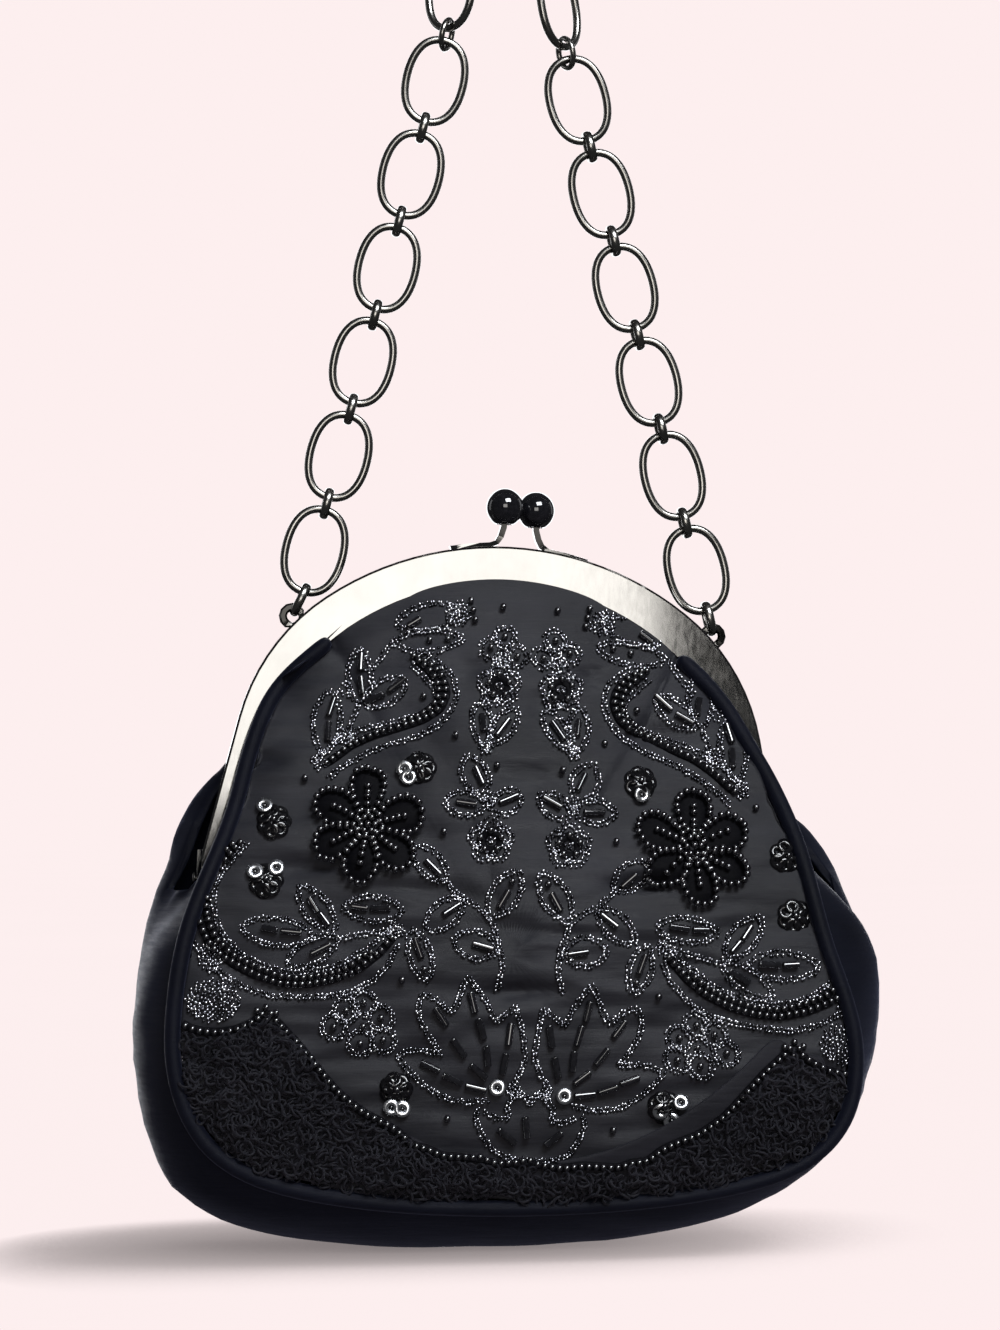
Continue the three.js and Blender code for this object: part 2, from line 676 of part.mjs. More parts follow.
// The whole handle: two strands, an upright link above each, and the top link lying flat across the grip.
function handle() {
  const strands = [strand(-1), strand(1)];
  const bows = LINK.length - LINK.wire;
  const twist = rad(STRAND.upperTwistDeg);
  const cornerStep = RING.between * Math.SQRT1_2;
  const uprights = (reach) => strands.map(({ made, up }, i) => {
    const hand = 2 * i - 1;
    const lower = made[made.length - 1].upper.clone().addScaledVector(up, RING.between);
    const x = hand * (reach + cornerStep);
    const rise = Math.sqrt(bows ** 2 - (x - lower.x) ** 2);
    const side = vec(Math.cos(twist), hand * Math.sin(twist), 0);
    return { lower, upper: vec(x, EAR.y, lower.z + rise), side };
  });
  const dropOf = ([left, right]) => left.upper.z - right.upper.z;
  const reach = Math.sqrt(bows ** 2 - dropOf(uprights(bows / 2)) ** 2) / 2;
  const [upLeft, upRight] = uprights(reach);
  const top = {
    lower: vec(-reach, EAR.y, upLeft.upper.z + cornerStep),
    upper: vec(reach, EAR.y, upRight.upper.z + cornerStep),
    side: vec(0, 1, 0),
  };
  const downwards = [upRight, ...strands[1].made.slice().reverse()];
  const turned = downwards.map(({ lower, upper, side }) => ({ lower: upper, upper: lower, side }));
  const links = [...strands[0].made, upLeft, top, ...turned];
  return { links, topZ: (top.lower.z + top.upper.z) / 2 };
}

const metal = (color, roughness) => new THREE.MeshStandardMaterial({ color, roughness, metalness: 1 });
const fabric = (color, roughness) => new THREE.MeshStandardMaterial({ color, roughness, metalness: 0 });
const materials = {
  frame: metal(0xb9b4ae, 0.12),
  chain: metal(0x4a4744, 0.25),
  ball: new THREE.MeshStandardMaterial({ color: 0x0a0a0c, roughness: 0.08, metalness: 0.2 }),
  satin: fabric(0x14151d, 0.5),
  piping: fabric(0x101118, 0.5),
  border: fabric(0x0c0d13, 0.8),
  beads: fabric(0x08080b, 0.2),
};

function named(name, geometry, material) {
  const mesh = new THREE.Mesh(geometry, material);
  mesh.name = name;
  return mesh;
}

function bag() {
  const group = new THREE.Group();
  const add = (name, geometry, material) => group.add(named(name, hung(geometry), material));
  for (const [name, side] of [["front", -1], ["back", 1]]) {
    add(`${name}_panel`, panel(side), materials.satin);
    add(`piping_${name}`, piping(side), materials.piping);
    add(`frame_${name}`, frameHalf(side), materials.frame);
    add(`clasp_ball_${name}`, claspBall(side), materials.ball);
  }
  add("gusset", gusset(), materials.satin);
  add("border", border(), materials.border);
  for (const [name, hand] of [["left", -1], ["right", 1]]) {
    add(`hinge_rivet_${name}`, hingeRivet(hand), materials.frame);
    add(`flower_${name}`, flower(hand), materials.beads);
  }
  return group;
}

function chain({ links }) {
  const group = new THREE.Group();
  const number = (i) => String(i + 1).padStart(2, "0");
  links.forEach(({ lower, upper, side }, i) => {
    group.add(named(`link_${number(i)}`, link(lower, upper, side), materials.chain));
  });
  for (let i = 0; i + 1 < links.length; i++) {
    const [a, b] = [links[i], links[i + 1]];
    const make = a.side.dot(b.side) ** 2 < 0.9 ? CORNER_RING : RING;
    group.add(named(`ring_${number(i)}`, ring(a.upper, b.lower, a.side, b.side, make), materials.chain));
  }
  const ends = [["left", -1, links[0].lower], ["right", 1, links[links.length - 1].upper]];
  for (const [name, hand, end] of ends) {
    const eye = hang(vec(hand * EAR.x, EAR.y, EAR.z));
    const way = end.clone().sub(eye).normalize();
    const bow = eye.clone().addScaledVector(way, EAR.loopRadius);
    const across = vec(1, 0, 0);
    group.add(named(`end_ring_${name}`, ring(bow, end, across, across, RING, EAR.wire), materials.chain));
  }
  return group;
}

const loops = handle();
const purse = new THREE.Group();
purse.add(bag(), chain(loops));
purse.position.set(0, -EAR.y, -(loops.topZ - LINK.wire / 2));
const part = new THREE.Group();
part.add(purse);

export default part;
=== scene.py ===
import itertools
import math
import random

import bmesh
import bpy
import numpy as np
from mathutils import Matrix, Vector, noise
from mathutils.bvhtree import BVHTree


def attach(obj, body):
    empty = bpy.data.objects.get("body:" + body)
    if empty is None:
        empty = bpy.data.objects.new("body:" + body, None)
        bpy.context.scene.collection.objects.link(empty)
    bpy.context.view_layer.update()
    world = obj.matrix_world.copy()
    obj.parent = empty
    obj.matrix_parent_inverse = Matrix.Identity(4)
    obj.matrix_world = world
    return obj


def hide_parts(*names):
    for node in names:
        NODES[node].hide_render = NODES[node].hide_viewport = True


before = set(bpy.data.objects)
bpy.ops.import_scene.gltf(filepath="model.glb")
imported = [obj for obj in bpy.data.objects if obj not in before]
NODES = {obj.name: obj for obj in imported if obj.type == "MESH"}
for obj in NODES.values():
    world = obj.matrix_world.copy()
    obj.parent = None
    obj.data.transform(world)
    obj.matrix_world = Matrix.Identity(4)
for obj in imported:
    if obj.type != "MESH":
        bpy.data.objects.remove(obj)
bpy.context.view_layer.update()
SCENE = bpy.context.scene
MM = 0.001

# The view of the photograph, whose frame is 1000 by 1330 pixels.
PHOTO_WIDTH = 1000
PHOTO_HEIGHT = 1330
VIEW = {"yaw": -5.8, "elevation": -2.0, "roll": -0.4, "distance": 0.9}
VIEW_TARGET = Vector((0, 0, -0.2))
FOCAL_PX = 3396
MIDDLE_PX = (508, 699)
SENSOR_WIDTH = 36

FLOOR_Z = -0.3447
FLOOR_HALF_WIDTH = 12.0
PALE_PINK = (0.982, 0.863, 0.863)
STUDIO_TINT = (0.86, 0.87, 0.9)
STUDIO_STRENGTH = 0.06

# The soft shadow on the floor: how far it reaches, the side it is open to, and its tones by openness.
SHADOW_REACH = 0.06
SHADOW_LEAN = (1.9, -1.6, -0.4)
SHADOW_STOPS = [(0.3, 0.12), (0.8, 0.5), (1.0, 1.0)]

# Softboxes: place and aim in metres, size, colour and the radiance of the lit face.
LIGHTS = [
    # name, place, aim, (width, height), radiance, colour
    ("front_card", (-0.08, -1.75, 0.08), (-0.08, 0, 0.08), (0.75, 0.6), 4.8, (1.0, 0.97, 0.925)),
    ("key", (0.35, -1.0, 0.75), (0, 0, -0.25), (0.7, 0.5), 28.0, (0.93, 0.96, 1.0)),
    ("back_card", (0, 1.6, 0.1), (0, 0, 0.1), (1.8, 1.6), 3.2, (0.96, 0.97, 1.0)),
    ("rim_left", (-1.1, 0.45, 0.1), (0, 0, -0.22), (0.3, 0.8), 1.0, (0.96, 0.97, 1.0)),
    ("rim_right", (1.1, 0.5, 0.1), (0, 0, -0.22), (0.3, 0.8), 0.8, (0.96, 0.97, 1.0)),
]


def camera_axes():
    """Right, up and backward directions of the photograph's camera."""
    yaw, lift, roll = (math.radians(VIEW[key]) for key in ("yaw", "elevation", "roll"))
    back = Vector((math.sin(yaw) * math.cos(lift), -math.cos(yaw) * math.cos(lift), math.sin(lift)))
    level = (-back).cross(Vector((0, 0, 1))).normalized()
    upright = level.cross(-back)
    right = level * math.cos(roll) + upright * math.sin(roll)
    up = upright * math.cos(roll) - level * math.sin(roll)
    return right, up, back


RIGHT, UP, BACK = camera_axes()
EYE = VIEW_TARGET + BACK * VIEW["distance"]


def make_camera():
    data = bpy.data.cameras.new("photo_camera")
    data.sensor_fit = "HORIZONTAL"
    data.sensor_width = SENSOR_WIDTH
    data.lens = SENSOR_WIDTH * FOCAL_PX / PHOTO_WIDTH
    data.shift_x = 0.5 - MIDDLE_PX[0] / PHOTO_WIDTH
    data.shift_y = (MIDDLE_PX[1] - PHOTO_HEIGHT / 2) / PHOTO_WIDTH
    data.clip_start = 0.01
    camera = bpy.data.objects.new("photo_camera", data)
    camera.matrix_world = Matrix.Translation(EYE) @ Matrix((RIGHT, UP, BACK)).transposed().to_4x4()
    SCENE.collection.objects.link(camera)
    SCENE.camera = camera


def pixel_ray(u, v):
    """Direction from the camera through a pixel of the photograph."""
    across = (u - MIDDLE_PX[0]) / FOCAL_PX
    down = (v - MIDDLE_PX[1]) / FOCAL_PX
    return (RIGHT * across - UP * down - BACK).normalized()


def pixels_of(points):
    """Columns and rows of the photograph where points are seen."""
    from_eye = points - np.array(EYE)
    reach = -from_eye @ np.array(BACK)
    u = MIDDLE_PX[0] + FOCAL_PX * (from_eye @ np.array(RIGHT)) / reach
    v = MIDDLE_PX[1] - FOCAL_PX * (from_eye @ np.array(UP)) / reach
    return u, v


def new_material(name):
    """A node material with its shader, its node maker and its link maker."""
    material = bpy.data.materials.new(name)
    material.use_nodes = True
    tree = material.node_tree
    return material, tree.nodes["Principled BSDF"], tree.nodes.new, tree.links.new


def set_inputs(node, **values):
    for key, value in values.items():
        node.inputs[key.replace("_", " ")].default_value = value


def stretched(new, link, scale):
    """Object coordinates stretched by a scale along each axis."""
    place = new("ShaderNodeTexCoord")
    mapping = new("ShaderNodeMapping")
    mapping.inputs["Scale"].default_value = scale
    link(place.outputs["Object"], mapping.inputs["Vector"])
    return mapping.outputs["Vector"]


def noise_node(new, link, scale, fineness=1.0, detail=4.0, roughness=0.55):
    node = new("ShaderNodeTexNoise")
    set_inputs(node, Scale=fineness, Detail=detail, Roughness=roughness)
    link(stretched(new, link, scale), node.inputs["Vector"])
    return node.outputs["Fac"]


def ramp(new, link, factor, stops):
    """A colour ramp from stops of position and grey or colour."""
    node = new("ShaderNodeValToRGB")
    elements = node.color_ramp.elements
    while len(elements) < len(stops):
        elements.new(0.5)
    for element, (position, colour) in zip(elements, stops):
        element.position = position
        element.color = (*colour, 1) if isinstance(colour, tuple) else (colour, colour, colour, 1)
    link(factor, node.inputs["Fac"])
    return node.outputs["Color"]


def bump(new, link, shader, heights):
    """Chains bumps, each a height output with its strength and depth in metres."""
    before = None
    for height, strength, depth in heights:
        node = new("ShaderNodeBump")
        set_inputs(node, Strength=strength, Distance=depth)
        link(height, node.inputs["Height"])
        if before:
            link(before, node.inputs["Normal"])
        before = node.outputs["Normal"]
    link(before, shader.inputs["Normal"])


def satin_material(name, dark, light, sheen, gloss):
    """Woven satin: fine ribs, long slubs and a patchy tone."""
    material, shader, new, link = new_material(name)
    slubs = noise_node(new, link, (90, 90, 900))
    patches = noise_node(new, link, (28, 28, 45), detail=3.0)
    mixed = new("ShaderNodeMath")
    mixed.operation = "MULTIPLY_ADD"
    mixed.inputs[1].default_value = 0.45
    link(slubs, mixed.inputs[0])
    link(patches, mixed.inputs[2])
    link(ramp(new, link, mixed.outputs[0], [(0.45, dark), (0.95, light)]), shader.inputs["Base Color"])
    rough = ramp(new, link, slubs, [(0.3, 0.42), (0.7, 0.56)])
    link(rough, shader.inputs["Roughness"])
    weave = new("ShaderNodeTexWave")
    weave.bands_direction = "Z"
    set_inputs(weave, Scale=0.5, Distortion=0.6, Detail=1.0)
    link(stretched(new, link, (900, 900, 5200)), weave.inputs["Vector"])
    bump(new, link, shader, [(weave.outputs["Fac"], 0.25, 0.00012), (slubs, 0.35, 0.0003)])
    shader.inputs["Specular IOR Level"].default_value = gloss
    shader.inputs["Sheen Weight"].default_value = 0.06
    shader.inputs["Sheen Roughness"].default_value = 0.4
    shader.inputs["Sheen Tint"].default_value = (*sheen, 1)
    return material


def metal_material(name, dark, light, smooth, worn):
    """Plated metal: a slightly clouded tone, hairline scratches and duller worn spots."""
    material, shader, new, link = new_material(name)
    clouds = noise_node(new, link, (70, 70, 70), detail=3.0)
    link(ramp(new, link, clouds, [(0.3, dark), (0.7, light)]), shader.inputs["Base Color"])
    hairlines = noise_node(new, link, (900, 300, 260), detail=5.0)
    link(ramp(new, link, hairlines, [(0.35, smooth), (0.75, worn)]), shader.inputs["Roughness"])
    bump(new, link, shader, [(hairlines, 0.012, 0.00005)])
    shader.inputs["Metallic"].default_value = 1.0
    return material


def gloss_material(name, colour, roughness, coat):
    """Hard black gloss, as on glass beads and lacquer, with faint dust on it."""
    material, shader, new, link = new_material(name)
    specks = noise_node(new, link, (800, 800, 800), detail=2.0)
    paler = tuple(1.8 * c + 0.002 for c in colour)
    link(ramp(new, link, specks, [(0.4, colour), (0.8, paler)]), shader.inputs["Base Color"])
    link(ramp(new, link, specks, [(0.4, roughness), (0.8, roughness + 0.03)]), shader.inputs["Roughness"])
    shader.inputs["Coat Weight"].default_value = coat
    shader.inputs["Coat IOR"].default_value = 1.55
    shader.inputs["Coat Roughness"].default_value = 0.03
    return material


SATIN = satin_material(
    "satin_panel", (0.005, 0.0052, 0.007), (0.0115, 0.0118, 0.0155), (0.75, 0.78, 0.95), 0.17
)
# A darker, bluer copy of the panel satin for the gusset, piping and fold; the darkness is painted shade.
SATIN_SIDE_PAINTED_SHADE = satin_material(
    "satin_side_painted_shade", (0.0017, 0.002, 0.004), (0.0034, 0.004, 0.008), (0.55, 0.62, 1.0), 0.06
)
# Near-black cloth of the flower pads, also on the cords of painted shade under the jet rows.
PAD_AND_SHADE_CLOTH = satin_material(
    "pad_and_shade_cloth", (0.001, 0.001, 0.0015), (0.003, 0.003, 0.004), (0.6, 0.6, 0.7), 0.03
)
FRAME_METAL = metal_material("frame_metal", (0.205, 0.203, 0.198), (0.232, 0.229, 0.224), 0.06, 0.11)
CHAIN_METAL = metal_material("chain_metal", (0.2, 0.194, 0.182), (0.27, 0.26, 0.244), 0.2, 0.27)
# The same plated metal darkened for the clasp posts: painted shade and dark reflection.
POST_METAL_PAINTED_SHADE = metal_material("post_metal_painted_shade", (0.016, 0.0156, 0.015), (0.03, 0.029, 0.028), 0.12, 0.2)
BALL_ENAMEL = gloss_material("ball_enamel", (0.003, 0.003, 0.004), 0.07, 0.3)
JET = gloss_material("jet_glass", (0.003, 0.003, 0.004), 0.05, 1.0)
SEQUIN_BLACK = gloss_material("sequin_black", (0.002, 0.002, 0.0025), 0.1, 0.0)
SEQUIN_BRIGHT = metal_material("sequin_bright", (0.62, 0.63, 0.66), (0.78, 0.79, 0.82), 0.2, 0.32)
# Lit and shaded copies of one silver: bright is a painted glint, mid and dark are painted shade.
SILVER_TONES = [
    # share of the beads, name, material
    (0.34, "bright", metal_material("silver_painted_glint", (0.5, 0.5, 0.53), (0.66, 0.66, 0.69), 0.18, 0.3)),
    (0.36, "mid", metal_material("silver_painted_midtone", (0.22, 0.22, 0.24), (0.32, 0.32, 0.35), 0.2, 0.32)),
    (0.30, "dark", metal_material("silver_painted_shade", (0.05, 0.05, 0.06), (0.09, 0.09, 0.1), 0.2, 0.32)),
]
THREAD = satin_material(
    "border_thread", (0.003, 0.003, 0.0045), (0.011, 0.011, 0.0145), (0.7, 0.72, 0.85), 0.08
)


def add_piece(name, mesh, material, replaces=()):
    """Links a finished mesh into the scene as a piece of the bag."""
    piece = bpy.data.objects.new(name, mesh)
    SCENE.collection.objects.link(piece)
    mesh.materials.clear()
    mesh.materials.append(material)
    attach(piece, "root")
    if replaces:
        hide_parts(*replaces)
    return piece


def node_quads(node):
    """A node's surface as a welded bmesh, with its triangles joined into quads."""
    source = NODES[node]
    work = bmesh.new()
    work.from_mesh(source.data)
    work.transform(source.matrix_world)
    bmesh.ops.remove_doubles(work, verts=work.verts, dist=2e-6)
    bmesh.ops.join_triangles(
        work, faces=work.faces, angle_face_threshold=1.0, angle_shape_threshold=1.2
    )
    return work


def hold_edges(work, angle):
    """Creases the edges sharper than an angle, so that subdivision keeps them."""
    crease = work.edges.layers.float.new("crease_edge")
    for edge in work.edges:
        if edge.calc_face_angle(0) > math.radians(angle):
            edge[crease] = 1.0
    return work


def mesh_of(work, name, smooth=True):
    mesh = bpy.data.meshes.new(name)
    work.to_mesh(mesh)
    work.free()
    mesh.polygons.foreach_set("use_smooth", [smooth] * len(mesh.polygons))
    return mesh


def subdivided(mesh, levels):
    """The mesh after Catmull-Clark subdivision, as new mesh data."""
    holder = bpy.data.objects.new("subdividing", mesh)
    SCENE.collection.objects.link(holder)
    modifier = holder.modifiers.new("subdivide", "SUBSURF")
    modifier.levels = levels
    modifier.render_levels = levels
    depsgraph = bpy.context.evaluated_depsgraph_get()
    result = bpy.data.meshes.new_from_object(holder.evaluated_get(depsgraph))
    result.name = mesh.name
    bpy.data.objects.remove(holder)
    return result


def points_and_normals(mesh):
    count = len(mesh.vertices)
    points = np.empty(count * 3)
    normals = np.empty(count * 3)
    mesh.vertices.foreach_get("co", points)
    mesh.vertex_normals.foreach_get("vector", normals)
    return points.reshape(-1, 3), normals.reshape(-1, 3)


def move_points(mesh, points):
    mesh.vertices.foreach_set("co", points.ravel())
    mesh.update()


def swollen(mesh, amount):
    """Pushes a mesh out along its normals."""
    points, normals = points_and_normals(mesh)
    move_points(mesh, points + normals * amount)
    return mesh


def round_node(node, material, levels=2, swell=0.0):
    """Stands a smooth copy in for a node that is coarse in the solids."""
    mesh = subdivided(mesh_of(node_quads(node), node + "_smooth"), levels)
    if swell:
        swollen(mesh, swell)
    return add_piece(node + "_smooth", mesh, material, [node])


def crisp_node(node, material, bevel):
    """Stands a copy with rounded edges in for a node with flat faces."""
    mesh = mesh_of(node_quads(node), node + "_fine")
    piece = add_piece(node + "_fine", mesh, material, [node])
    mesh.set_sharp_from_angle(angle=math.radians(SHARP_ANGLE))
    modifier = piece.modifiers.new("edge_rounding", "BEVEL")
    modifier.width = bevel
    modifier.segments = 2
    modifier.limit_method = "ANGLE"
    modifier.angle_limit = math.radians(SHARP_ANGLE)
    modifier.harden_normals = True
    return piece


# The frame's outer edge, drawn level: its top in metres and its radii in millimetres. It hangs at a slope.
FRAME_TOP_Z = -0.16
FRAME_SLOPE = 0.049
FRAME_TOP_RADIUS = 81
FRAME_TOP_ANGLE = 36
FRAME_SHOULDER_RADIUS = 55

# How far beyond that edge, in millimetres, the fittings, what swells of them and the posts begin.
FITTING_REACH = 0.1
SWELL_REACH = 0.6
POST_REACH = 1.0

# Edges sharper than an angle in degrees are rounded, and thin pieces swell a little.
SHARP_ANGLE = 35
FRAME_ROUNDING = 0.25 * MM
RIVET_ROUNDING = 0.3 * MM
FITTING_SWELL = 0.35 * MM
BALL_SWELL = 0.1 * MM
CHAIN_SWELL = 0.12 * MM
PIPING_SWELL = 0.8 * MM

# Edge of the cloth folded over the frame's left shoulder, in pixels of the photograph.
LEFT_FOLD = [(333, 644), (320, 651), (300, 665), (284, 679), (275, 689), (268, 698)]
FOLD_PITCH_PX = 5
FOLD_STEPS = 6
FOLD_BULGE = 0.8 * MM
FOLD_LIFT = 0.55 * MM
FOLD_THICKNESS = 0.4 * MM

# The tuck in the gusset, between the front seam and the left hinge, that leaves the hinge in sight,
# in millimetres.
TUCK = {"outer": -60, "front": -26, "back": -4, "slope": 6, "foot": -267, "rise": 15, "depth": 11}

# Cloth this near the frame is gripped by it and is not evened.
GRIP_REACH = 3.0 * MM

# The puckers start at a margin from the frame and grow to their full height, in millimetres.
PUCKER_MARGIN = 1.5
PUCKER_FADE = 8

# Edges of the cloth sharper than this, in degrees, stay sharp.
SEAM_ANGLE = 60
BAG_MIDDLE = np.array([0, 0, -0.27])

# Puckers of the satin: height and size across and down, in millimetres.
PUCKERS = [
    # height, across, down, seed
    (1.4, 30, 8, 3.1),
    (0.8, 13, 3.6, 7.7),
    (0.9, 60, 42, 1.3),
]

# Short creases where the beadwork draws the satin in, in pixels, with their depth in millimetres.
CREASES = [
    # u, v, half length, half height, depth
    (470, 668, 22, 8, 2.2),
    (594, 676, 24, 8, 2.4),
    (545, 702, 20, 9, 1.8),
    (540, 775, 45, 9, 2.2),
    (655, 735, 30, 9, 1.8),
    (250, 760, 30, 10, 1.8),
    (300, 866, 35, 9, 2.0),
    (430, 893, 25, 9, 1.2),
    (640, 882, 40, 9, 2.7),
    (511, 930, 32, 9, 2.1),
    (578, 934, 30, 9, 1.4),
    (514, 992, 40, 9, 2.7),
    (700, 962, 30, 9, 1.2),
    (600, 1005, 30, 9, 1.4),
    (300, 1040, 30, 12, 1.2),
    (410, 1052, 40, 11, 1.4),
    (690, 1092, 40, 11, 1.4),
]


def node_tree(node):
    """A search tree of a node's surface."""
    mesh = NODES[node].data
    faces = [list(polygon.vertices) for polygon in mesh.polygons]
    return BVHTree.FromPolygons([vertex.co for vertex in mesh.vertices], faces)


FRAME_TREES = [node_tree("frame_front"), node_tree("frame_back")]


def frame_distances(mesh):
    """How far each point of a mesh is from the metal frame."""
    points = [vertex.co for vertex in mesh.vertices]
    return np.array([min(tree.find_nearest(point)[3] for tree in FRAME_TREES) for point in points])


def crease_depths(points, creases):
    """How deep each point lies in the creases, in millimetres."""
    u, v = pixels_of(points)
    depths = np.zeros(len(points))
    for middle_u, middle_v, length, height, depth in creases:
        far = ((u - middle_u) / length) ** 2 + ((v - middle_v) / height) ** 2
        depths += depth * np.exp(-far)
    return depths


def puckered(mesh, strength, creases):
    """Gives a cloth mesh its soft horizontal puckers, which die out at the frame."""
    points, normals = points_and_normals(mesh)
    lift = np.zeros(len(points))
    for height, across, down, seed in PUCKERS:
        scaled = points / MM / np.array([across, across, down]) + seed
        lift += height * np.array([noise.noise(Vector(p)) for p in scaled])
    if creases:
        lift -= crease_depths(points, creases)
    free = np.clip((frame_distances(mesh) / MM - PUCKER_MARGIN) / PUCKER_FADE, 0, 1)
    side = np.sign(np.sum(normals * (points - BAG_MIDDLE), axis=1))
    move_points(mesh, points + normals * (side * strength * MM * lift * free)[:, None])
    return mesh


def smoothed_depth(mesh, rounds):
    """Evens a cloth mesh front to back, keeping its outline and what the frame grips."""
    work = bmesh.new()
    work.from_mesh(mesh)
    gripped = frame_distances(mesh) < GRIP_REACH
    free = [vertex for vertex in work.verts if not gripped[vertex.index]]
    for _ in range(rounds):
        bmesh.ops.smooth_vert(work, verts=free, factor=0.5, use_axis_y=True)
    work.to_mesh(mesh)
    work.free()
    return mesh


def tucked_side(mesh):
    """Tucks the left side of the gusset in, ahead of the hinge."""
    points, _ = points_and_normals(mesh)
    x, y, z = (points / MM).T
    ahead = np.clip((TUCK["back"] - y) / TUCK["slope"], 0, 1)
    behind = np.clip((y - TUCK["front"]) / TUCK["slope"], 0, 1)
    above = np.clip((z - TUCK["foot"]) / TUCK["rise"], 0, 1)
    points[:, 0] += TUCK["depth"] * MM * ahead * behind * above * (x < TUCK["outer"])
    move_points(mesh, points)


def cloth_node(node, material, levels, evening, pucker, creases=(), reshape=None):
    """Stands a smooth, puckered cloth in for a sewn node."""
    mesh = mesh_of(hold_edges(node_quads(node), SEAM_ANGLE), node + "_cloth")
    if reshape:
        reshape(mesh)
    for _ in range(levels):
        mesh = subdivided(mesh, 1)
        smoothed_depth(mesh, evening)
    puckered(mesh, pucker, creases)
    mesh.polygons.foreach_set("use_smooth", [True] * len(mesh.polygons))
    return add_piece(node + "_cloth", mesh, material, [node])


def beyond_frame(point):
    """How far a point is outside the frame's outer edge, in millimetres."""
    x = point.x / MM - FRAME_SLOPE * (point.z - FRAME_TOP_Z) / MM
    z = (point.z - FRAME_TOP_Z) / MM + FRAME_SLOPE * point.x / MM
    turn = math.radians(FRAME_TOP_ANGLE)
    drop = FRAME_TOP_RADIUS - FRAME_SHOULDER_RADIUS
    if math.atan2(abs(x), z + FRAME_TOP_RADIUS) < turn:
        return math.hypot(x, z + FRAME_TOP_RADIUS) - FRAME_TOP_RADIUS
    aside = abs(x) - drop * math.sin(turn)
    below = z + FRAME_TOP_RADIUS - drop * math.cos(turn)
    return math.hypot(aside, below) - FRAME_SHOULDER_RADIUS if below > 0 else 0


def frame_half(node):
    """A frame half, its swollen fittings in the chain's metal and its post in a darker copy: painted
    shade.
    """
    piece = crisp_node(node, FRAME_METAL, FRAME_ROUNDING)
    mesh = piece.data
    mesh.materials.append(CHAIN_METAL)
    mesh.materials.append(POST_METAL_PAINTED_SHADE)
    apart = [beyond_frame(vertex.co) for vertex in mesh.vertices]
    for polygon in mesh.polygons:
        reach = min(apart[index] for index in polygon.vertices)
        if reach > FITTING_REACH:
            polygon.material_index = 2 if reach > POST_REACH else 1
    points, normals = points_and_normals(mesh)
    grown = np.array([FITTING_SWELL if reach > SWELL_REACH else 0 for reach in apart])
    move_points(mesh, points + normals * grown[:, None])


def fold_point(root, edge, share):
    """A point of the fold, from its root at the seam to its edge, bulged to the front."""
    return root.lerp(edge, share) + Vector((0, -FOLD_BULGE * math.sin(math.pi * share), 0))


def shoulder_fold(name, outline):
    """Gusset cloth folded over the frame's face, from the corded seam to a line of pixels."""
    cord = node_tree("piping_front")
    line, _ = evenly_along(outline, FOLD_PITCH_PX)
    rows = []
    for u, v in line:
        place, _, _, _ = FRAME_TREES[0].ray_cast(EYE, pixel_ray(u, v))
        if place is None:
            continue
        edge = place + Vector((0, -FOLD_LIFT, 0))
        root = cord.find_nearest(edge)[0]
        rows.append([fold_point(root, edge, step / FOLD_STEPS) for step in range(FOLD_STEPS + 1)])
    work = bmesh.new()
    verts = [[work.verts.new(point) for point in row] for row in rows]
    for here, after in zip(verts, verts[1:]):
        for i in range(len(here) - 1):
            work.faces.new([here[i], here[i + 1], after[i + 1], after[i]])
    bmesh.ops.recalc_face_normals(work, faces=work.faces)
    bmesh.ops.solidify(work, geom=work.faces[:], thickness=FOLD_THICKNESS)
    add_piece(name, subdivided(mesh_of(work, name), 1), SATIN_SIDE_PAINTED_SHADE)


def make_floor():
    """A pale floor that glows evenly, with the soft shadow of what stands on it."""
    material, shader, new, link = new_material("floor_paper")
    grain = noise_node(new, link, (3, 3, 3), detail=2.0)
    tint = tuple(0.995 * c for c in PALE_PINK)
    paper = ramp(new, link, grain, [(0.3, tint), (0.7, PALE_PINK)])
    surface = new("ShaderNodeNewGeometry")
    leaning = new("ShaderNodeVectorMath")
    leaning.inputs[1].default_value = SHADOW_LEAN
    link(surface.outputs["Normal"], leaning.inputs[0])
    nearby = new("ShaderNodeAmbientOcclusion")
    nearby.samples = 16
    set_inputs(nearby, Distance=SHADOW_REACH)
    link(leaning.outputs["Vector"], nearby.inputs["Normal"])
    shaded = new("ShaderNodeMix")
    shaded.data_type = "RGBA"
    shaded.blend_type = "MULTIPLY"
    shaded.inputs["Factor"].default_value = 1.0
    link(paper, shaded.inputs["A"])
    link(ramp(new, link, nearby.outputs["AO"], SHADOW_STOPS), shaded.inputs["B"])
    link(shaded.outputs["Result"], shader.inputs["Emission Color"])
    shader.inputs["Emission Strength"].default_value = 1.0
    shader.inputs["Base Color"].default_value = (0, 0, 0, 1)
    shader.inputs["Roughness"].default_value = 0.9
    shader.inputs["Specular IOR Level"].default_value = 0.0
    work = bmesh.new()
    bmesh.ops.create_grid(work, x_segments=1, y_segments=1, size=FLOOR_HALF_WIDTH)
    mesh = mesh_of(work, "floor", smooth=False)
    mesh.materials.append(material)
    floor = bpy.data.objects.new("floor", mesh)
    floor.location.z = FLOOR_Z
    SCENE.collection.objects.link(floor)
    floor.visible_glossy = False


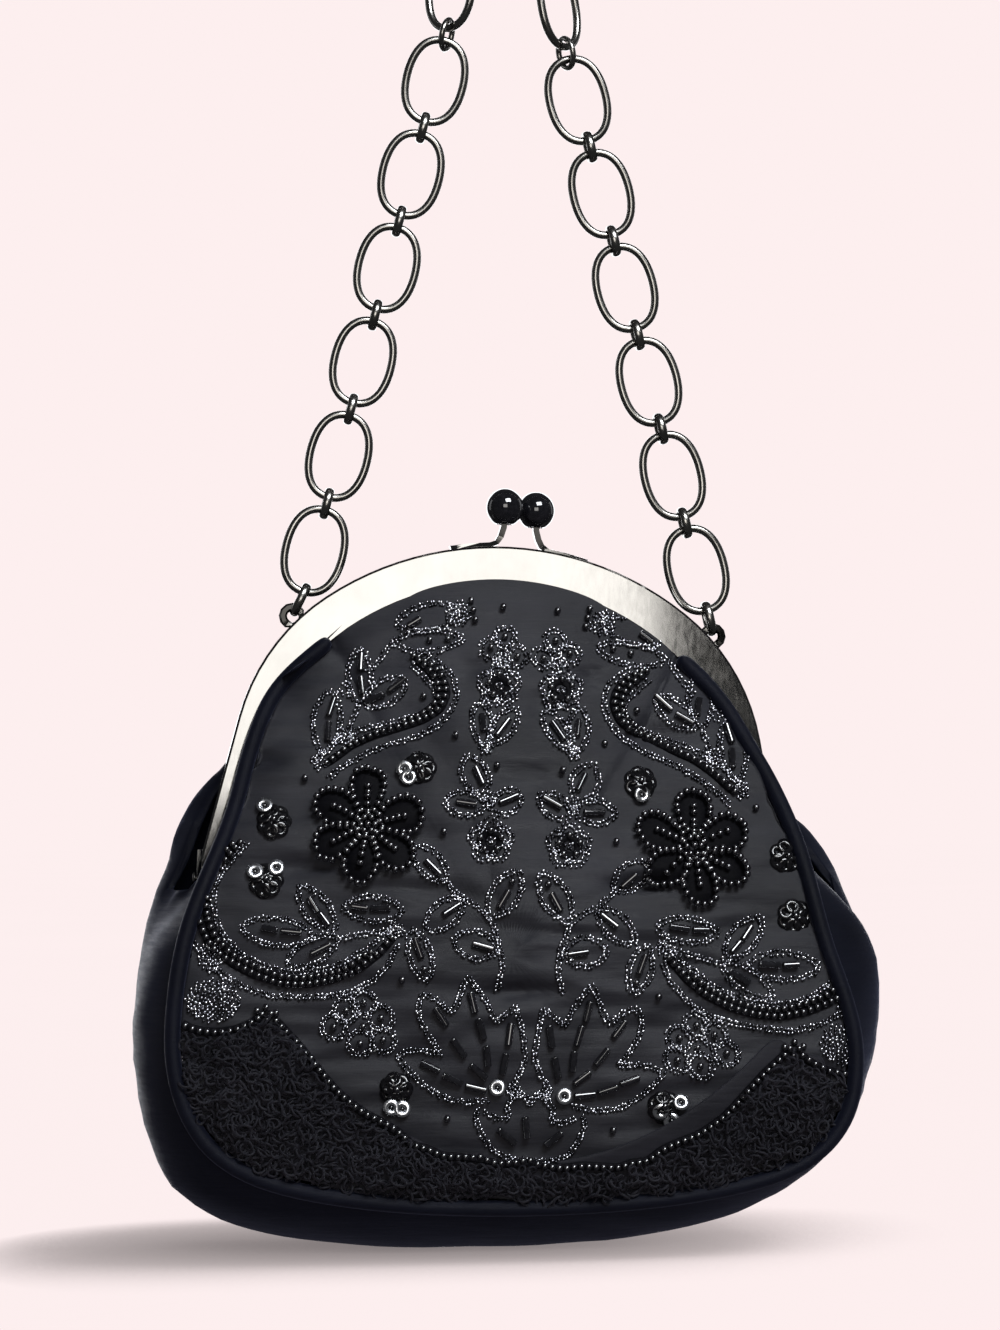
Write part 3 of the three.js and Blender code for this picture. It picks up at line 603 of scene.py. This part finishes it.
def make_surroundings():
    """The pale studio behind everything, which lights the bag only dimly."""
    world = bpy.data.worlds.new("studio")
    SCENE.world = world
    world.use_nodes = True
    tree = world.node_tree
    dim = tree.nodes["Background"]
    set_inputs(dim, Color=(*STUDIO_TINT, 1), Strength=STUDIO_STRENGTH)
    pale = tree.nodes.new("ShaderNodeBackground")
    set_inputs(pale, Color=(*PALE_PINK, 1), Strength=1.0)
    path = tree.nodes.new("ShaderNodeLightPath")
    seen = tree.nodes.new("ShaderNodeMixShader")
    tree.links.new(path.outputs["Is Camera Ray"], seen.inputs["Fac"])
    tree.links.new(dim.outputs["Background"], seen.inputs[1])
    tree.links.new(pale.outputs["Background"], seen.inputs[2])
    tree.links.new(seen.outputs["Shader"], tree.nodes["World Output"].inputs["Surface"])


def make_lights():
    for name, place, aim, (width, height), radiance, colour in LIGHTS:
        data = bpy.data.lights.new(name, "AREA")
        data.shape = "RECTANGLE"
        data.size = width
        data.size_y = height
        data.energy = radiance * math.pi * width * height
        data.color = colour
        light = bpy.data.objects.new(name, data)
        light.location = place
        light.rotation_mode = "QUATERNION"
        light.rotation_quaternion = (Vector(aim) - Vector(place)).to_track_quat("-Z", "Y")
        SCENE.collection.objects.link(light)


# Beadwork of the left half, read off the photograph in pixels. Its mirror image covers the right half.
MIRROR_SUM = 1060
MIRROR_SLOPE = 0.135

LEAVES = [
    # u, v, angle in degrees from level, length, width
    (428, 618, 12, 62, 26),
    (429, 641, 3, 69, 22),
    (360, 677, 90, 56, 24),
    (385, 693, 30, 48, 24),
    (327, 722, 84, 62, 27),
    (482, 724, 98, 44, 20),
    (503, 727, 53, 44, 21),
    (475, 775, -65, 41, 26),
    (465, 804, -6, 41, 24),
    (506, 803, 25, 34, 24),
    (430, 864, -45, 44, 24),
    (444, 915, 38, 46, 25),
    (505, 894, 58, 52, 28),
    (475, 945, -17, 44, 28),
    (420, 955, -74, 52, 22),
    (277, 932, -7, 72, 27),
    (317, 909, -53, 56, 25),
    (313, 951, 28, 56, 24),
    (373, 909, -3, 60, 25),
]
BUGLES = [
    # u and v of one end, u and v of the other
    (408, 627, 421, 619),
    (362, 654, 361, 672),
    (362, 677, 364, 695),
    (389, 692, 406, 679),
    (367, 702, 385, 694),
    (335, 699, 329, 717),
    (329, 723, 328, 742),
    (482, 715, 484, 732),
    (496, 737, 509, 720),
    (475, 767, 483, 785),
    (456, 803, 477, 806),
    (499, 804, 518, 796),
    (425, 860, 440, 875),
    (443, 916, 460, 905),
    (499, 908, 509, 891),
    (472, 944, 493, 950),
    (415, 939, 422, 959),
    (281, 931, 302, 933),
    (262, 928, 278, 931),
    (309, 897, 318, 912),
    (320, 914, 329, 926),
    (311, 954, 331, 944),
    (371, 908, 391, 908),
    (352, 906, 368, 908),
    (465, 1085, 486, 1090),
    (443, 1074, 462, 1083),
    (421, 1063, 440, 1072),
    (435, 1008, 447, 1026),
    (452, 1038, 465, 1056),
    (470, 1064, 486, 1078),
    (470, 992, 475, 1013),
    (478, 1018, 484, 1039),
    (486, 1045, 488, 1066),
    (511, 1022, 508, 1044),
    (506, 1053, 502, 1074),
    (498, 1128, 515, 1143),
]
MIDDLE_BUGLE = (525, 1116, 527, 1138)

SILVER_LINES = [
    # dots between the leaves
    [(395, 640), (377, 663), (368, 672)],
    [(358, 706), (352, 723), (347, 737)],
    # the hook's two outlines
    [(411, 664), (424, 677), (435, 690), (436, 703), (426, 713), (404, 719), (385, 724), (371, 727),
     (352, 733), (337, 742), (326, 753), (315, 760)],
    [(417, 653), (436, 660), (453, 677), (457, 694), (452, 710), (439, 726), (417, 737), (385, 746),
     (359, 758), (340, 769), (331, 777)],
    # the stem through the leaves
    [(445, 880), (461, 897), (477, 907), (490, 919), (496, 935), (501, 952), (502, 970), (497, 988)],
    # the crescent's inner and lower outlines, with the stem that leaves it
    [(247, 843), (232, 860), (219, 878), (213, 898), (216, 918), (225, 937), (241, 953), (261, 965),
     (284, 972), (307, 973), (329, 968), (351, 959), (373, 945), (394, 928)],
    [(195, 943), (206, 958), (222, 974), (245, 988), (270, 996), (299, 997), (327, 996), (352, 991),
     (372, 981), (390, 963), (397, 946)],
    [(339, 938), (366, 934), (399, 928)],
    # the fan
    [(488, 1100), (465, 1102), (442, 1097), (425, 1086), (411, 1073), (396, 1056), (407, 1050),
     (423, 1050), (442, 1054), (432, 1040), (421, 1023), (418, 1006), (423, 993), (437, 1000),
     (451, 1013), (458, 1002), (463, 986), (469, 976), (480, 992), (489, 1007), (496, 1022),
     (507, 1013), (516, 1006), (521, 1026), (524, 1042), (526, 1059), (518, 1076), (509, 1090)],
    # the lower fan
    [(478, 1108), (475, 1118), (482, 1135), (492, 1150), (506, 1157), (520, 1160), (530, 1160)],
    [(484, 1112), (497, 1119), (509, 1119), (507, 1106), (515, 1095), (523, 1093), (530, 1103)],
]
SILVER_PATCHES = [
    # u, v, radius across, radius down, number of beads
    (458, 614, 13, 13, 46),
    (502, 660, 11, 7, 26),
    (349, 737, 9, 11, 24),
    (345, 690, 9, 8, 12),
    (211, 958, 13, 16, 46),
    (213, 1001, 28, 22, 135),
    (319, 762, 8, 10, 20),
    (486, 748, 7, 7, 18),
    (488, 800, 8, 10, 22),
    (396, 930, 9, 9, 22),
    (515, 1092, 8, 8, 20),
]
SILVER_RINGS = [
    # u, v, radius, each round one jet bead
    (491, 649, 10),
    (505, 638, 10),
    (517, 657, 10),
    (346, 1010, 12),
    (364, 1003, 12),
    (381, 1018, 12),
    (383, 1040, 12),
    (360, 1043, 12),
    (334, 1027, 12),
]
BLOSSOM = {"petals": 5, "petal_at": 0.5, "petal_radius": 0.48, "shade_ring_at": 0.45}
ROUND_FLOWERS = [
    # u, v, radius
    (499, 686, 21),
    (491, 841, 22),
]
SIDE_SCALLOP = [(179, 1022), (191, 1029), (206, 1032), (222, 1032), (238, 1029), (250, 1024), (258, 1019)]
WIDE_SCALLOP = [
    (276, 1021), (295, 1041), (309, 1058), (321, 1073), (336, 1091), (350, 1103), (363, 1113),
    (381, 1122), (398, 1132), (413, 1146), (428, 1149), (441, 1156), (456, 1157), (479, 1159),
    (496, 1164), (512, 1164), (530, 1163),
]
JET_LINES = [
    # the hook's core, two rows
    [(419, 658), (435, 668), (444, 680), (447, 694), (441, 708), (426, 719), (408, 725), (388, 731),
     (368, 737), (351, 746), (337, 756), (326, 764)],
    [(414, 657), (430, 671), (438, 683), (440, 696), (434, 706), (420, 716), (404, 722)],
    # the crescent, two rows
    [(233, 845), (217, 860), (206, 880), (199, 904), (200, 924), (210, 945), (230, 962), (255, 975),
     (281, 983), (306, 984), (331, 980), (355, 971), (375, 957), (392, 939)],
    [(241, 843), (225, 860), (213, 880), (206, 902), (208, 922), (218, 941), (236, 957), (259, 969),
     (283, 977), (306, 978), (330, 974), (352, 965), (371, 952)],
    SIDE_SCALLOP,
    WIDE_SCALLOP,
]
JET_BEADS = [
    # u, v
    (471, 602), (473, 611), (475, 620), (503, 608), (430, 641), (448, 639), (305, 778), (424, 697),
    (456, 735), (497, 765), (444, 831), (402, 979), (447, 1119), (512, 881), (424, 969), (363, 1026),
    (266, 1007), (262, 1014), (271, 1014), (267, 1020), (276, 1013), (257, 1010),
]
BIG_FLOWER = {
    "u": 368, "v": 826, "reach": 57, "waist": 10, "pad_waist": 2, "half_width": 20,
    "rim_pitch": 6.9, "spine_pitch": 7.2, "heart": 7,
}
PETAL_ANGLES = (15, 90, 152, 205, 260, 315)
ROSETTES = [
    # u, v, radius of the ring of sequins
    (420, 768, 9),
    (274, 822, 10),
    (266, 881, 10),
    (396, 1089, 9),
]
BRIGHT_SEQUINS = [
    # u, v on both halves
    (405, 769), (409, 778), (265, 807), (255, 873), (276, 869), (391, 1107), (402, 1109), (497, 1088),
    (641, 795), (812, 913), (660, 1110), (671, 1120), (680, 1103), (564, 1096),
]

SILVER_RADIUS = 0.5 * MM
SILVER_PITCH_PX = 3.7
JET_RADIUS = 1.0 * MM
JET_PITCH_PX = 7.4
BUGLE_RADIUS = 0.92 * MM
SEQUIN_RADIUS = 2.15 * MM
SEQUIN_LEAN = 0.34
BRIGHT_SEQUIN_LEAN = 0.08
ROSETTE_SEQUINS = 7
SILVER_ROW_GAP_PX = 3.6
GOLDEN_ANGLE = 2.39996

# Cloth that faces the front less than this takes no beads.
FACING = 0.25

# The low dark cords under the jet beads, painted shade: pixels between their rings, and their section.
SHADE_CORD = {"pitch": 4, "sides": 8, "half_width": 1.25 * MM, "height": 0.75 * MM}

# The knotted border, in pixels, with the share of the pitch between rows and the height of its tufts.
BORDER = {
    "left": 165, "top": 1012, "pitch": 6.4, "row_share": 0.86, "columns": 112, "rows": 44,
    "jitter": 2.6, "gap": 5, "tuft": 13, "rise": 1.6 * MM,
}

# The one seeded source of chance.
CHANCE = random.Random(20)


def mirrored(points):
    """Pixel points of the left half, carried over to the right half."""
    return [(MIRROR_SUM - u, v + MIRROR_SLOPE * (MIRROR_SUM / 2 - u)) for u, v in points]


def both_halves(points):
    return [list(points), mirrored(points)]


def evenly_along(points, pitch, closed=False):
    """Points at an even pitch along a smooth line through the given pixels, with the line's direction."""
    anchors = np.array(points + points[:1] if closed else points, float)
    reach = np.concatenate([[0], np.cumsum(np.linalg.norm(np.diff(anchors, axis=0), axis=1))])
    count = max(2, round(reach[-1] / pitch) + 1)
    stops = np.linspace(0, reach[-1], count)
    line = np.stack([np.interp(stops, reach, anchors[:, axis]) for axis in (0, 1)], axis=1)
    if len(anchors) > 3 and not closed:
        padded = np.concatenate([line[:1], line, line[-1:]])
        line[1:-1] = (0.25 * padded[:-2] + 0.5 * padded[1:-1] + 0.25 * padded[2:])[1:-1]
    if closed:
        line = line[:-1]
    along = np.gradient(line, axis=0)
    along /= np.maximum(np.linalg.norm(along, axis=1), 1e-9)[:, None]
    return line, along


def turned_pixel(u, v, x, y, turn):
    """The pixel that is x along and y across a turned direction from another pixel."""
    column = u + x * math.cos(turn) + y * math.sin(turn)
    row = v - x * math.sin(turn) + y * math.cos(turn)
    return column, row


def leaf_outline(u, v, angle, length, width):
    """The pointed oval of a leaf, in pixels."""
    turn = math.radians(angle)
    outline = []
    for step in range(40):
        a = 2 * math.pi * step / 40
        x = length / 2 * math.cos(a)
        y = width / 2 * math.sin(a) * (0.55 + 0.45 * abs(math.sin(a)))
        outline.append(turned_pixel(u, v, x, y, turn))
    return outline


def circle_outline(u, v, radius, steps=24):
    turns = [2 * math.pi * step / steps for step in range(steps)]
    return [(u + radius * math.cos(a), v + radius * math.sin(a)) for a in turns]


class Cloth:
    """The front of the bag as a surface that pixels of the photograph are dropped on."""

    def __init__(self, pieces):
        points = []
        faces = []
        for piece in pieces:
            start = len(points)
            points += [vertex.co.copy() for vertex in piece.data.vertices]
            faces += [[start + index for index in polygon.vertices] for polygon in piece.data.polygons]
        self.tree = BVHTree.FromPolygons(points, faces)

    def at(self, u, v):
        """The place on the cloth behind a pixel, and the way out of the cloth, or None beside it."""
        ray = pixel_ray(u, v)
        place, normal, _, reach = self.tree.ray_cast(EYE, ray)
        if place is None or normal.y > -FACING or FRAME_TREES[0].ray_cast(EYE, ray, reach)[0]:
            return None
        return place, normal

    def axes(self, u, v, along):
        """Place and axes at a pixel: along a direction in the picture, across it, and out of the cloth."""
        hit = self.at(u, v)
        if hit is None:
            return None
        place, out = hit
        ahead = RIGHT * along[0] - UP * along[1]
        ahead = (ahead - out * ahead.dot(out)).normalized()
        return place, np.array([ahead, out.cross(ahead), out]).T


def joined_copies(name, template, copies):
    """One mesh of many turned and scaled copies of a template of points and faces."""
    points, faces = template
    points = np.array(points, float)
    places = np.array([place for place, _ in copies], float)
    turns = np.array([turn for _, turn in copies], float)
    corners = np.einsum("mij,nj->mni", turns, points) + places[:, None]
    size = len(points)
    polygons = [[start * size + i for i in face] for start in range(len(copies)) for face in faces]
    mesh = bpy.data.meshes.new(name)
    mesh.from_pydata(corners.reshape(-1, 3).tolist(), [], polygons)
    mesh.polygons.foreach_set("use_smooth", [True] * len(polygons))
    return mesh


def ball_template(detail):
    work = bmesh.new()
    bmesh.ops.create_icosphere(work, subdivisions=detail, radius=1)
    points = [tuple(vertex.co) for vertex in work.verts]
    faces = [[vertex.index for vertex in face.verts] for face in work.faces]
    work.free()
    return points, faces


def lathe_template(profile, steps):
    """A ring of revolution about the first axis, from a closed profile of distance along and radius."""
    count = len(profile)
    points = []
    for step in range(steps):
        a = 2 * math.pi * step / steps
        points += [(x, r * math.cos(a), r * math.sin(a)) for x, r in profile]
    faces = []
    for step in range(steps):
        here = step * count
        after = (step + 1) % steps * count
        for i in range(count):
            j = (i + 1) % count
            faces.append([here + i, here + j, after + j, after + i])
    return points, faces


# Profiles of the beads: distance along the hole and distance from it, as shares of the radius.
SEED_PROFILE = [(-0.62, 0.4), (-0.72, 0.72), (-0.36, 1.0), (0.36, 1.0), (0.72, 0.72), (0.62, 0.4)]
BUGLE_PROFILE = [
    (-0.5, 0.5), (-0.5, 0.86), (-0.485, 1.0), (-0.45, 1.0),
    (0.45, 1.0), (0.485, 1.0), (0.5, 0.86), (0.5, 0.5),
]
SEQUIN_PROFILE = [(0.0, 0.29), (0.05, 0.29), (0.16, 1.0), (0.09, 1.0)]

# The thread of a border loop, five-sided, as shares of the loop's radius.
LOOP_THREAD = 0.26
LOOP_PROFILE = [
    (LOOP_THREAD * math.cos(a), 1 + LOOP_THREAD * math.sin(a))
    for a in np.linspace(0, 2 * math.pi, 6)[:-1]
]


class Beadwork:
    """Collects the beads of each kind before they become meshes."""

    def __init__(self, cloth):
        self.cloth = cloth
        self.jet = []
        self.silver = []
        self.bugles = []
        self.sequins = []
        self.bright_sequins = []

    def jet_bead(self, u, v, along=(1, 0), lift=0.75, size=1.0):
        hit = self.cloth.axes(u, v, along)
        if hit:
            place, turn = hit
            out = Vector(turn[:, 2])
            self.jet.append((place + out * JET_RADIUS * lift * size, turn * JET_RADIUS * size))

    def jet_line(self, points, pitch=JET_PITCH_PX, closed=False, lift=0.75, size=1.0):
        line, along = evenly_along(points, pitch, closed)
        for (u, v), direction in zip(line, along):
            self.jet_bead(u, v, direction, lift, size)

    def silver_bead(self, u, v):
        hit = self.cloth.axes(u, v, (1, 0))
        if hit:
            place, turn = hit
            out = Vector(turn[:, 2])
            size = SILVER_RADIUS * CHANCE.uniform(0.85, 1.1)
            self.silver.append((place + out * size * CHANCE.uniform(0.5, 0.95), turn * size))

    def silver_line(self, points, rows=2, closed=False):
        """Rows of small beads side by side, a little uneven as sewn by hand."""
        line, along = evenly_along(points, SILVER_PITCH_PX, closed)
        for row in range(rows):
            aside = (row - (rows - 1) / 2) * SILVER_ROW_GAP_PX
            for (u, v), (du, dv) in zip(line, along):
                shift = aside + CHANCE.uniform(-0.9, 0.9)
                slip = CHANCE.uniform(-1.0, 1.0) + 2.0 * row
                self.silver_bead(u - dv * shift + du * slip, v + du * shift + dv * slip)

    def silver_patch(self, u, v, across, down, count):
        """Small beads spread evenly over an oval, in a sunflower's spiral."""
        for step in range(count):
            share = math.sqrt((step + 0.5) / count)
            a = step * GOLDEN_ANGLE
            self.silver_bead(
                u + across * share * math.cos(a) + CHANCE.uniform(-0.8, 0.8),
                v + down * share * math.sin(a) + CHANCE.uniform(-0.8, 0.8),
            )

    def bugle(self, u0, v0, u1, v1):
        first = self.cloth.at(u0, v0)
        last = self.cloth.at(u1, v1)
        if not first or not last:
            return
        out = (first[1] + last[1]).normalized()
        ahead = last[0] - first[0]
        across = out.cross(ahead).normalized()
        place = (first[0] + last[0]) / 2 + out * BUGLE_RADIUS * 0.9
        turn = np.array([ahead, across * BUGLE_RADIUS, out * BUGLE_RADIUS]).T
        self.bugles.append((place, turn))

    def sequin(self, u, v, tip, lift, bright=False):
        """A cupped disc on the cloth, tipped a little towards a direction in the picture."""
        hit = self.cloth.axes(u, v, tip)
        if not hit:
            return
        place, turn = hit
        ahead, across, out = (Vector(turn[:, axis]) for axis in range(3))
        lean = BRIGHT_SEQUIN_LEAN if bright else SEQUIN_LEAN
        face = (out + ahead * lean).normalized()
        side = across.cross(face).normalized()
        kept = self.bright_sequins if bright else self.sequins
        kept.append((place + out * lift, np.array([face, side, across]).T * SEQUIN_RADIUS))


def sew_leaves(work):
    for row in LEAVES:
        for outline in both_halves(leaf_outline(*row)):
            work.silver_line(outline, closed=True)
    for u0, v0, u1, v1 in BUGLES:
        for first, last in both_halves([(u0, v0), (u1, v1)]):
            work.bugle(*first, *last)
    work.bugle(*MIDDLE_BUGLE)


def sew_lines(work):
    for points in SILVER_LINES:
        for line in both_halves(points):
            work.silver_line(line)
    for points in JET_LINES:
        for line in both_halves(points):
            work.jet_line(line)
    for bead in JET_BEADS:
        for ((u, v),) in both_halves([bead]):
            work.jet_bead(u, v)


def sew_rings(work):
    for u, v, radius in SILVER_RINGS:
        for ring in both_halves(circle_outline(u, v, radius)):
            work.silver_line(ring, closed=True)
        for ((cu, cv),) in both_halves([(u, v)]):
            work.jet_bead(cu, cv)
    for u, v, across, down, count in SILVER_PATCHES:
        for ((cu, cv),) in both_halves([(u, v)]):
            work.silver_patch(cu, cv, across, down, count)
    for u, v, radius in ROUND_FLOWERS:
        for ((cu, cv),) in both_halves([(u, v)]):
            sew_round_flower(work, cu, cv, radius)


def sew_round_flower(work, u, v, radius):
    """Five jet beads in a scalloped ring of silver ones."""
    for petal in range(BLOSSOM["petals"]):
        a = math.radians(90 + 72 * petal)
        pu = u + BLOSSOM["petal_at"] * radius * math.cos(a)
        pv = v - BLOSSOM["petal_at"] * radius * math.sin(a)
        work.jet_bead(pu, pv)
        arc = [math.degrees(a) - 105 + 15 * step for step in range(15)]
        scallop = BLOSSOM["petal_radius"] * radius
        points = [
            (pu + scallop * math.cos(math.radians(d)), pv - scallop * math.sin(math.radians(d)))
            for d in arc
        ]
        work.silver_line(points, rows=2)
    work.silver_patch(u, v, 4, 4, 6)


def petal_outline(u, v, angle, start, reach, half_width):
    """A rounded petal from the middle of a flower outwards, in pixels."""
    turn = math.radians(angle)
    outline = []
    for step in range(32):
        a = 2 * math.pi * step / 32
        share = 0.5 - 0.5 * math.cos(a)
        x = start + (reach - start) * share
        y = half_width * math.sin(a) * (0.62 + 0.38 * share)
        outline.append(turned_pixel(u, v, x, -y, turn))
    return outline


def sew_big_flowers(work):
    """Two flowers of jet beads, each petal an outline and a row up its middle."""
    centre = [(BIG_FLOWER["u"], BIG_FLOWER["v"])]
    reach = BIG_FLOWER["reach"]
    for angle in PETAL_ANGLES:
        turn = math.radians(angle)
        (u, v), = centre
        rim = petal_outline(u, v, angle, BIG_FLOWER["waist"], reach, BIG_FLOWER["half_width"])
        spine = [(u + r * math.cos(turn), v - r * math.sin(turn)) for r in (12, 24, 38)]
        for line in both_halves(rim):
            work.jet_line(line, pitch=BIG_FLOWER["rim_pitch"], closed=True, lift=1.9)
        for line in both_halves(spine):
            work.jet_line(line, pitch=BIG_FLOWER["spine_pitch"], lift=2.0)
    for ((u, v),) in both_halves(centre):
        for step in range(6):
            a = math.radians(60 * step)
            heart = BIG_FLOWER["heart"]
            work.jet_bead(u + heart * math.cos(a), v + heart * math.sin(a), lift=2.2)
        work.jet_bead(u, v, lift=3.0)


def sew_sequins(work):
    for u, v, radius in ROSETTES:
        for ((cu, cv),) in both_halves([(u, v)]):
            for step in range(ROSETTE_SEQUINS):
                a = 2 * math.pi * step / ROSETTE_SEQUINS
                tip = (math.cos(a), math.sin(a))
                lift = (0.5 + 0.12 * (step % 3)) * MM
                work.sequin(cu + radius * tip[0], cv + radius * tip[1], tip, lift)
            work.jet_bead(cu, cv, lift=1.4)
    for u, v in BRIGHT_SEQUINS:
        tip = (CHANCE.uniform(-1, 1), CHANCE.uniform(-1, 0))
        work.sequin(u, v, tip, 1.15 * MM, bright=True)
        work.jet_bead(u, v, lift=1.35, size=0.55)


def sew_petal_pads(cloth, half):
    """The raised ground under one big flower's beads."""
    work = bmesh.new()
    flower = BIG_FLOWER
    heights = [(1.0, 0.25), (0.8, 0.8), (0.45, 1.1)]
    for angle in PETAL_ANGLES:
        rim = petal_outline(
            flower["u"], flower["v"], angle, flower["pad_waist"], flower["reach"], flower["half_width"]
        )
        middle = np.mean(rim, axis=0)
        rings = []
        for share, height in heights:
            scaled = [tuple(middle + (np.array(point) - middle) * share) for point in rim]
            rings.append([lifted_vert(work, cloth, point, height) for point in both_halves(scaled)[half]])
        tip = lifted_vert(work, cloth, both_halves([tuple(middle)])[half][0], 1.2)
        count = len(rim)
        for i in range(count):
            j = (i + 1) % count
            for outer, inner in zip(rings, rings[1:]):
                work.faces.new([outer[i], outer[j], inner[j], inner[i]])
            work.faces.new([rings[-1][i], rings[-1][j], tip])
    bmesh.ops.recalc_face_normals(work, faces=work.faces)
    return work


def sew_shade_cords(cloth, lines):
    """Low dark cords under the rows of jet beads, which paint in the shade between the beads."""
    work = bmesh.new()
    turns = [2 * math.pi * step / SHADE_CORD["sides"] for step in range(SHADE_CORD["sides"])]
    for points in lines:
        line, along = evenly_along(points, SHADE_CORD["pitch"])
        hits = [cloth.axes(u, v, direction) for (u, v), direction in zip(line, along)]
        for seen, run in itertools.groupby(hits, key=lambda hit: hit is not None):
            if not seen:
                continue
            rings = []
            for place, axes in run:
                across = Vector(axes[:, 1]) * SHADE_CORD["half_width"]
                out = Vector(axes[:, 2]) * SHADE_CORD["height"]
                rings.append([
                    work.verts.new(place + across * math.cos(a) + out * math.sin(a)) for a in turns
                ])
            if len(rings) < 2:
                continue
            for here, after in zip(rings, rings[1:]):
                for i in range(len(turns)):
                    work.faces.new([here[i - 1], here[i], after[i], after[i - 1]])
            work.faces.new(rings[0])
            work.faces.new(rings[-1])
    loose = [vertex for vertex in work.verts if not vertex.link_faces]
    bmesh.ops.delete(work, geom=loose, context="VERTS")
    bmesh.ops.recalc_face_normals(work, faces=work.faces)
    return work


def lifted_vert(work, cloth, point, height):
    place, out = cloth.at(*point)
    return work.verts.new(place + out * height * MM)


def scallop_row(u):
    """The pixel row of the scalloped line over the border, by column."""
    left = SIDE_SCALLOP + [(267, 1013)] + WIDE_SCALLOP
    line = left + mirrored(left)[::-1]
    return np.interp(u, [point[0] for point in line], [point[1] for point in line])


def knotted_border(cloth):
    """Places for the loops of thread that cover the border."""
    loops = []
    pitch = BORDER["pitch"]
    jitter = BORDER["jitter"]
    for row in range(BORDER["rows"]):
        for column in range(BORDER["columns"]):
            u = BORDER["left"] + pitch * (column + 0.5 * (row % 2)) + CHANCE.uniform(-jitter, jitter)
            v = BORDER["top"] + pitch * BORDER["row_share"] * row + CHANCE.uniform(-jitter, jitter)
            if v < scallop_row(u) + BORDER["gap"]:
                continue
            hit = cloth.axes(u, v, (math.cos(row + u), math.sin(row + u)))
            if not hit:
                continue
            place, turn = hit
            ahead, across, out = (Vector(turn[:, axis]) for axis in range(3))
            lean = CHANCE.uniform(0.35, 1.25)
            face = (out * math.cos(lean) + ahead * math.sin(lean)).normalized()
            side = across.cross(face).normalized()
            size = CHANCE.uniform(0.8, 1.35) * MM
            tuft = max(0.0, 0.25 + noise.noise(Vector((u / BORDER["tuft"], v / BORDER["tuft"], 0))))
            raised = out * (size * 0.45 + tuft * BORDER["rise"])
            loops.append((place + raised, np.array([face, side, across * 1.25]).T * size))
    return loops


make_camera()
make_floor()
make_surroundings()
make_lights()
SCENE.view_settings.view_transform = "Standard"

for frame_part in ("frame_front", "frame_back"):
    frame_half(frame_part)
for rivet in ("hinge_rivet_left", "hinge_rivet_right"):
    crisp_node(rivet, FRAME_METAL, RIVET_ROUNDING)
for ball in ("clasp_ball_front", "clasp_ball_back"):
    round_node(ball, BALL_ENAMEL, swell=BALL_SWELL)
for chain_part in sorted(n for n in NODES if n.startswith(("link_", "ring_", "end_ring_"))):
    round_node(chain_part, CHAIN_METAL, swell=CHAIN_SWELL)
front = cloth_node("front_panel", SATIN, 3, 10, 1.0, CREASES)
cloth_node("back_panel", SATIN, 3, 10, 0.7)
cloth_node("gusset", SATIN_SIDE_PAINTED_SHADE, 2, 0, 0.35, reshape=tucked_side)
for cord in ("piping_front", "piping_back"):
    round_node(cord, SATIN_SIDE_PAINTED_SHADE, swell=PIPING_SWELL)
shoulder_fold("fold_left", LEFT_FOLD)
border = round_node("border", THREAD)

beadwork = Beadwork(Cloth([front, border]))
panel_only = Cloth([front])
for half, flower_node in enumerate(("flower_left", "flower_right")):
    pad = mesh_of(sew_petal_pads(panel_only, half), flower_node + "_pad")
    add_piece(flower_node + "_pad", pad, PAD_AND_SHADE_CLOTH, [flower_node])
sew_leaves(beadwork)
sew_lines(beadwork)
sew_rings(beadwork)
sew_big_flowers(beadwork)
sew_sequins(beadwork)
# The jet rows and the rings of the round flowers get the dark cords of painted shade.
jet_rows = [row for points in JET_LINES for row in both_halves(points)]
for u, v, radius in ROUND_FLOWERS:
    ring = circle_outline(u, v, radius * BLOSSOM["shade_ring_at"])
    jet_rows += both_halves(ring + ring[:1])
shade_cords = mesh_of(sew_shade_cords(beadwork.cloth, jet_rows), "jet_row_shade_cords")
add_piece("jet_row_shade_cords", shade_cords, PAD_AND_SHADE_CLOTH)
seed = lathe_template(SEED_PROFILE, 8)
add_piece("jet_seed_beads", joined_copies("jet_seed_beads", seed, beadwork.jet), JET)
tube = lathe_template(BUGLE_PROFILE, 10)
add_piece("bugle_beads", joined_copies("bugle_beads", tube, beadwork.bugles), JET)
disc = lathe_template(SEQUIN_PROFILE, 20)
black = joined_copies("black_sequins", disc, beadwork.sequins)
add_piece("black_sequins", black, SEQUIN_BLACK)
bright = joined_copies("bright_sequins", disc, beadwork.bright_sequins)
add_piece("bright_sequins", bright, SEQUIN_BRIGHT)
# Each bead takes one of the painted silver tones at random.
CHANCE.shuffle(beadwork.silver)
taken = 0
for share, tone, material in SILVER_TONES:
    upto = taken + round(share * len(beadwork.silver))
    group = beadwork.silver[taken:upto]
    name = "silver_beads_painted_" + tone
    add_piece(name, joined_copies(name, ball_template(1), group), material)
    taken = upto
loops = knotted_border(beadwork.cloth)
loop_mesh = joined_copies("border_loops", lathe_template(LOOP_PROFILE, 10), loops)
add_piece("border_loops", loop_mesh, THREAD)
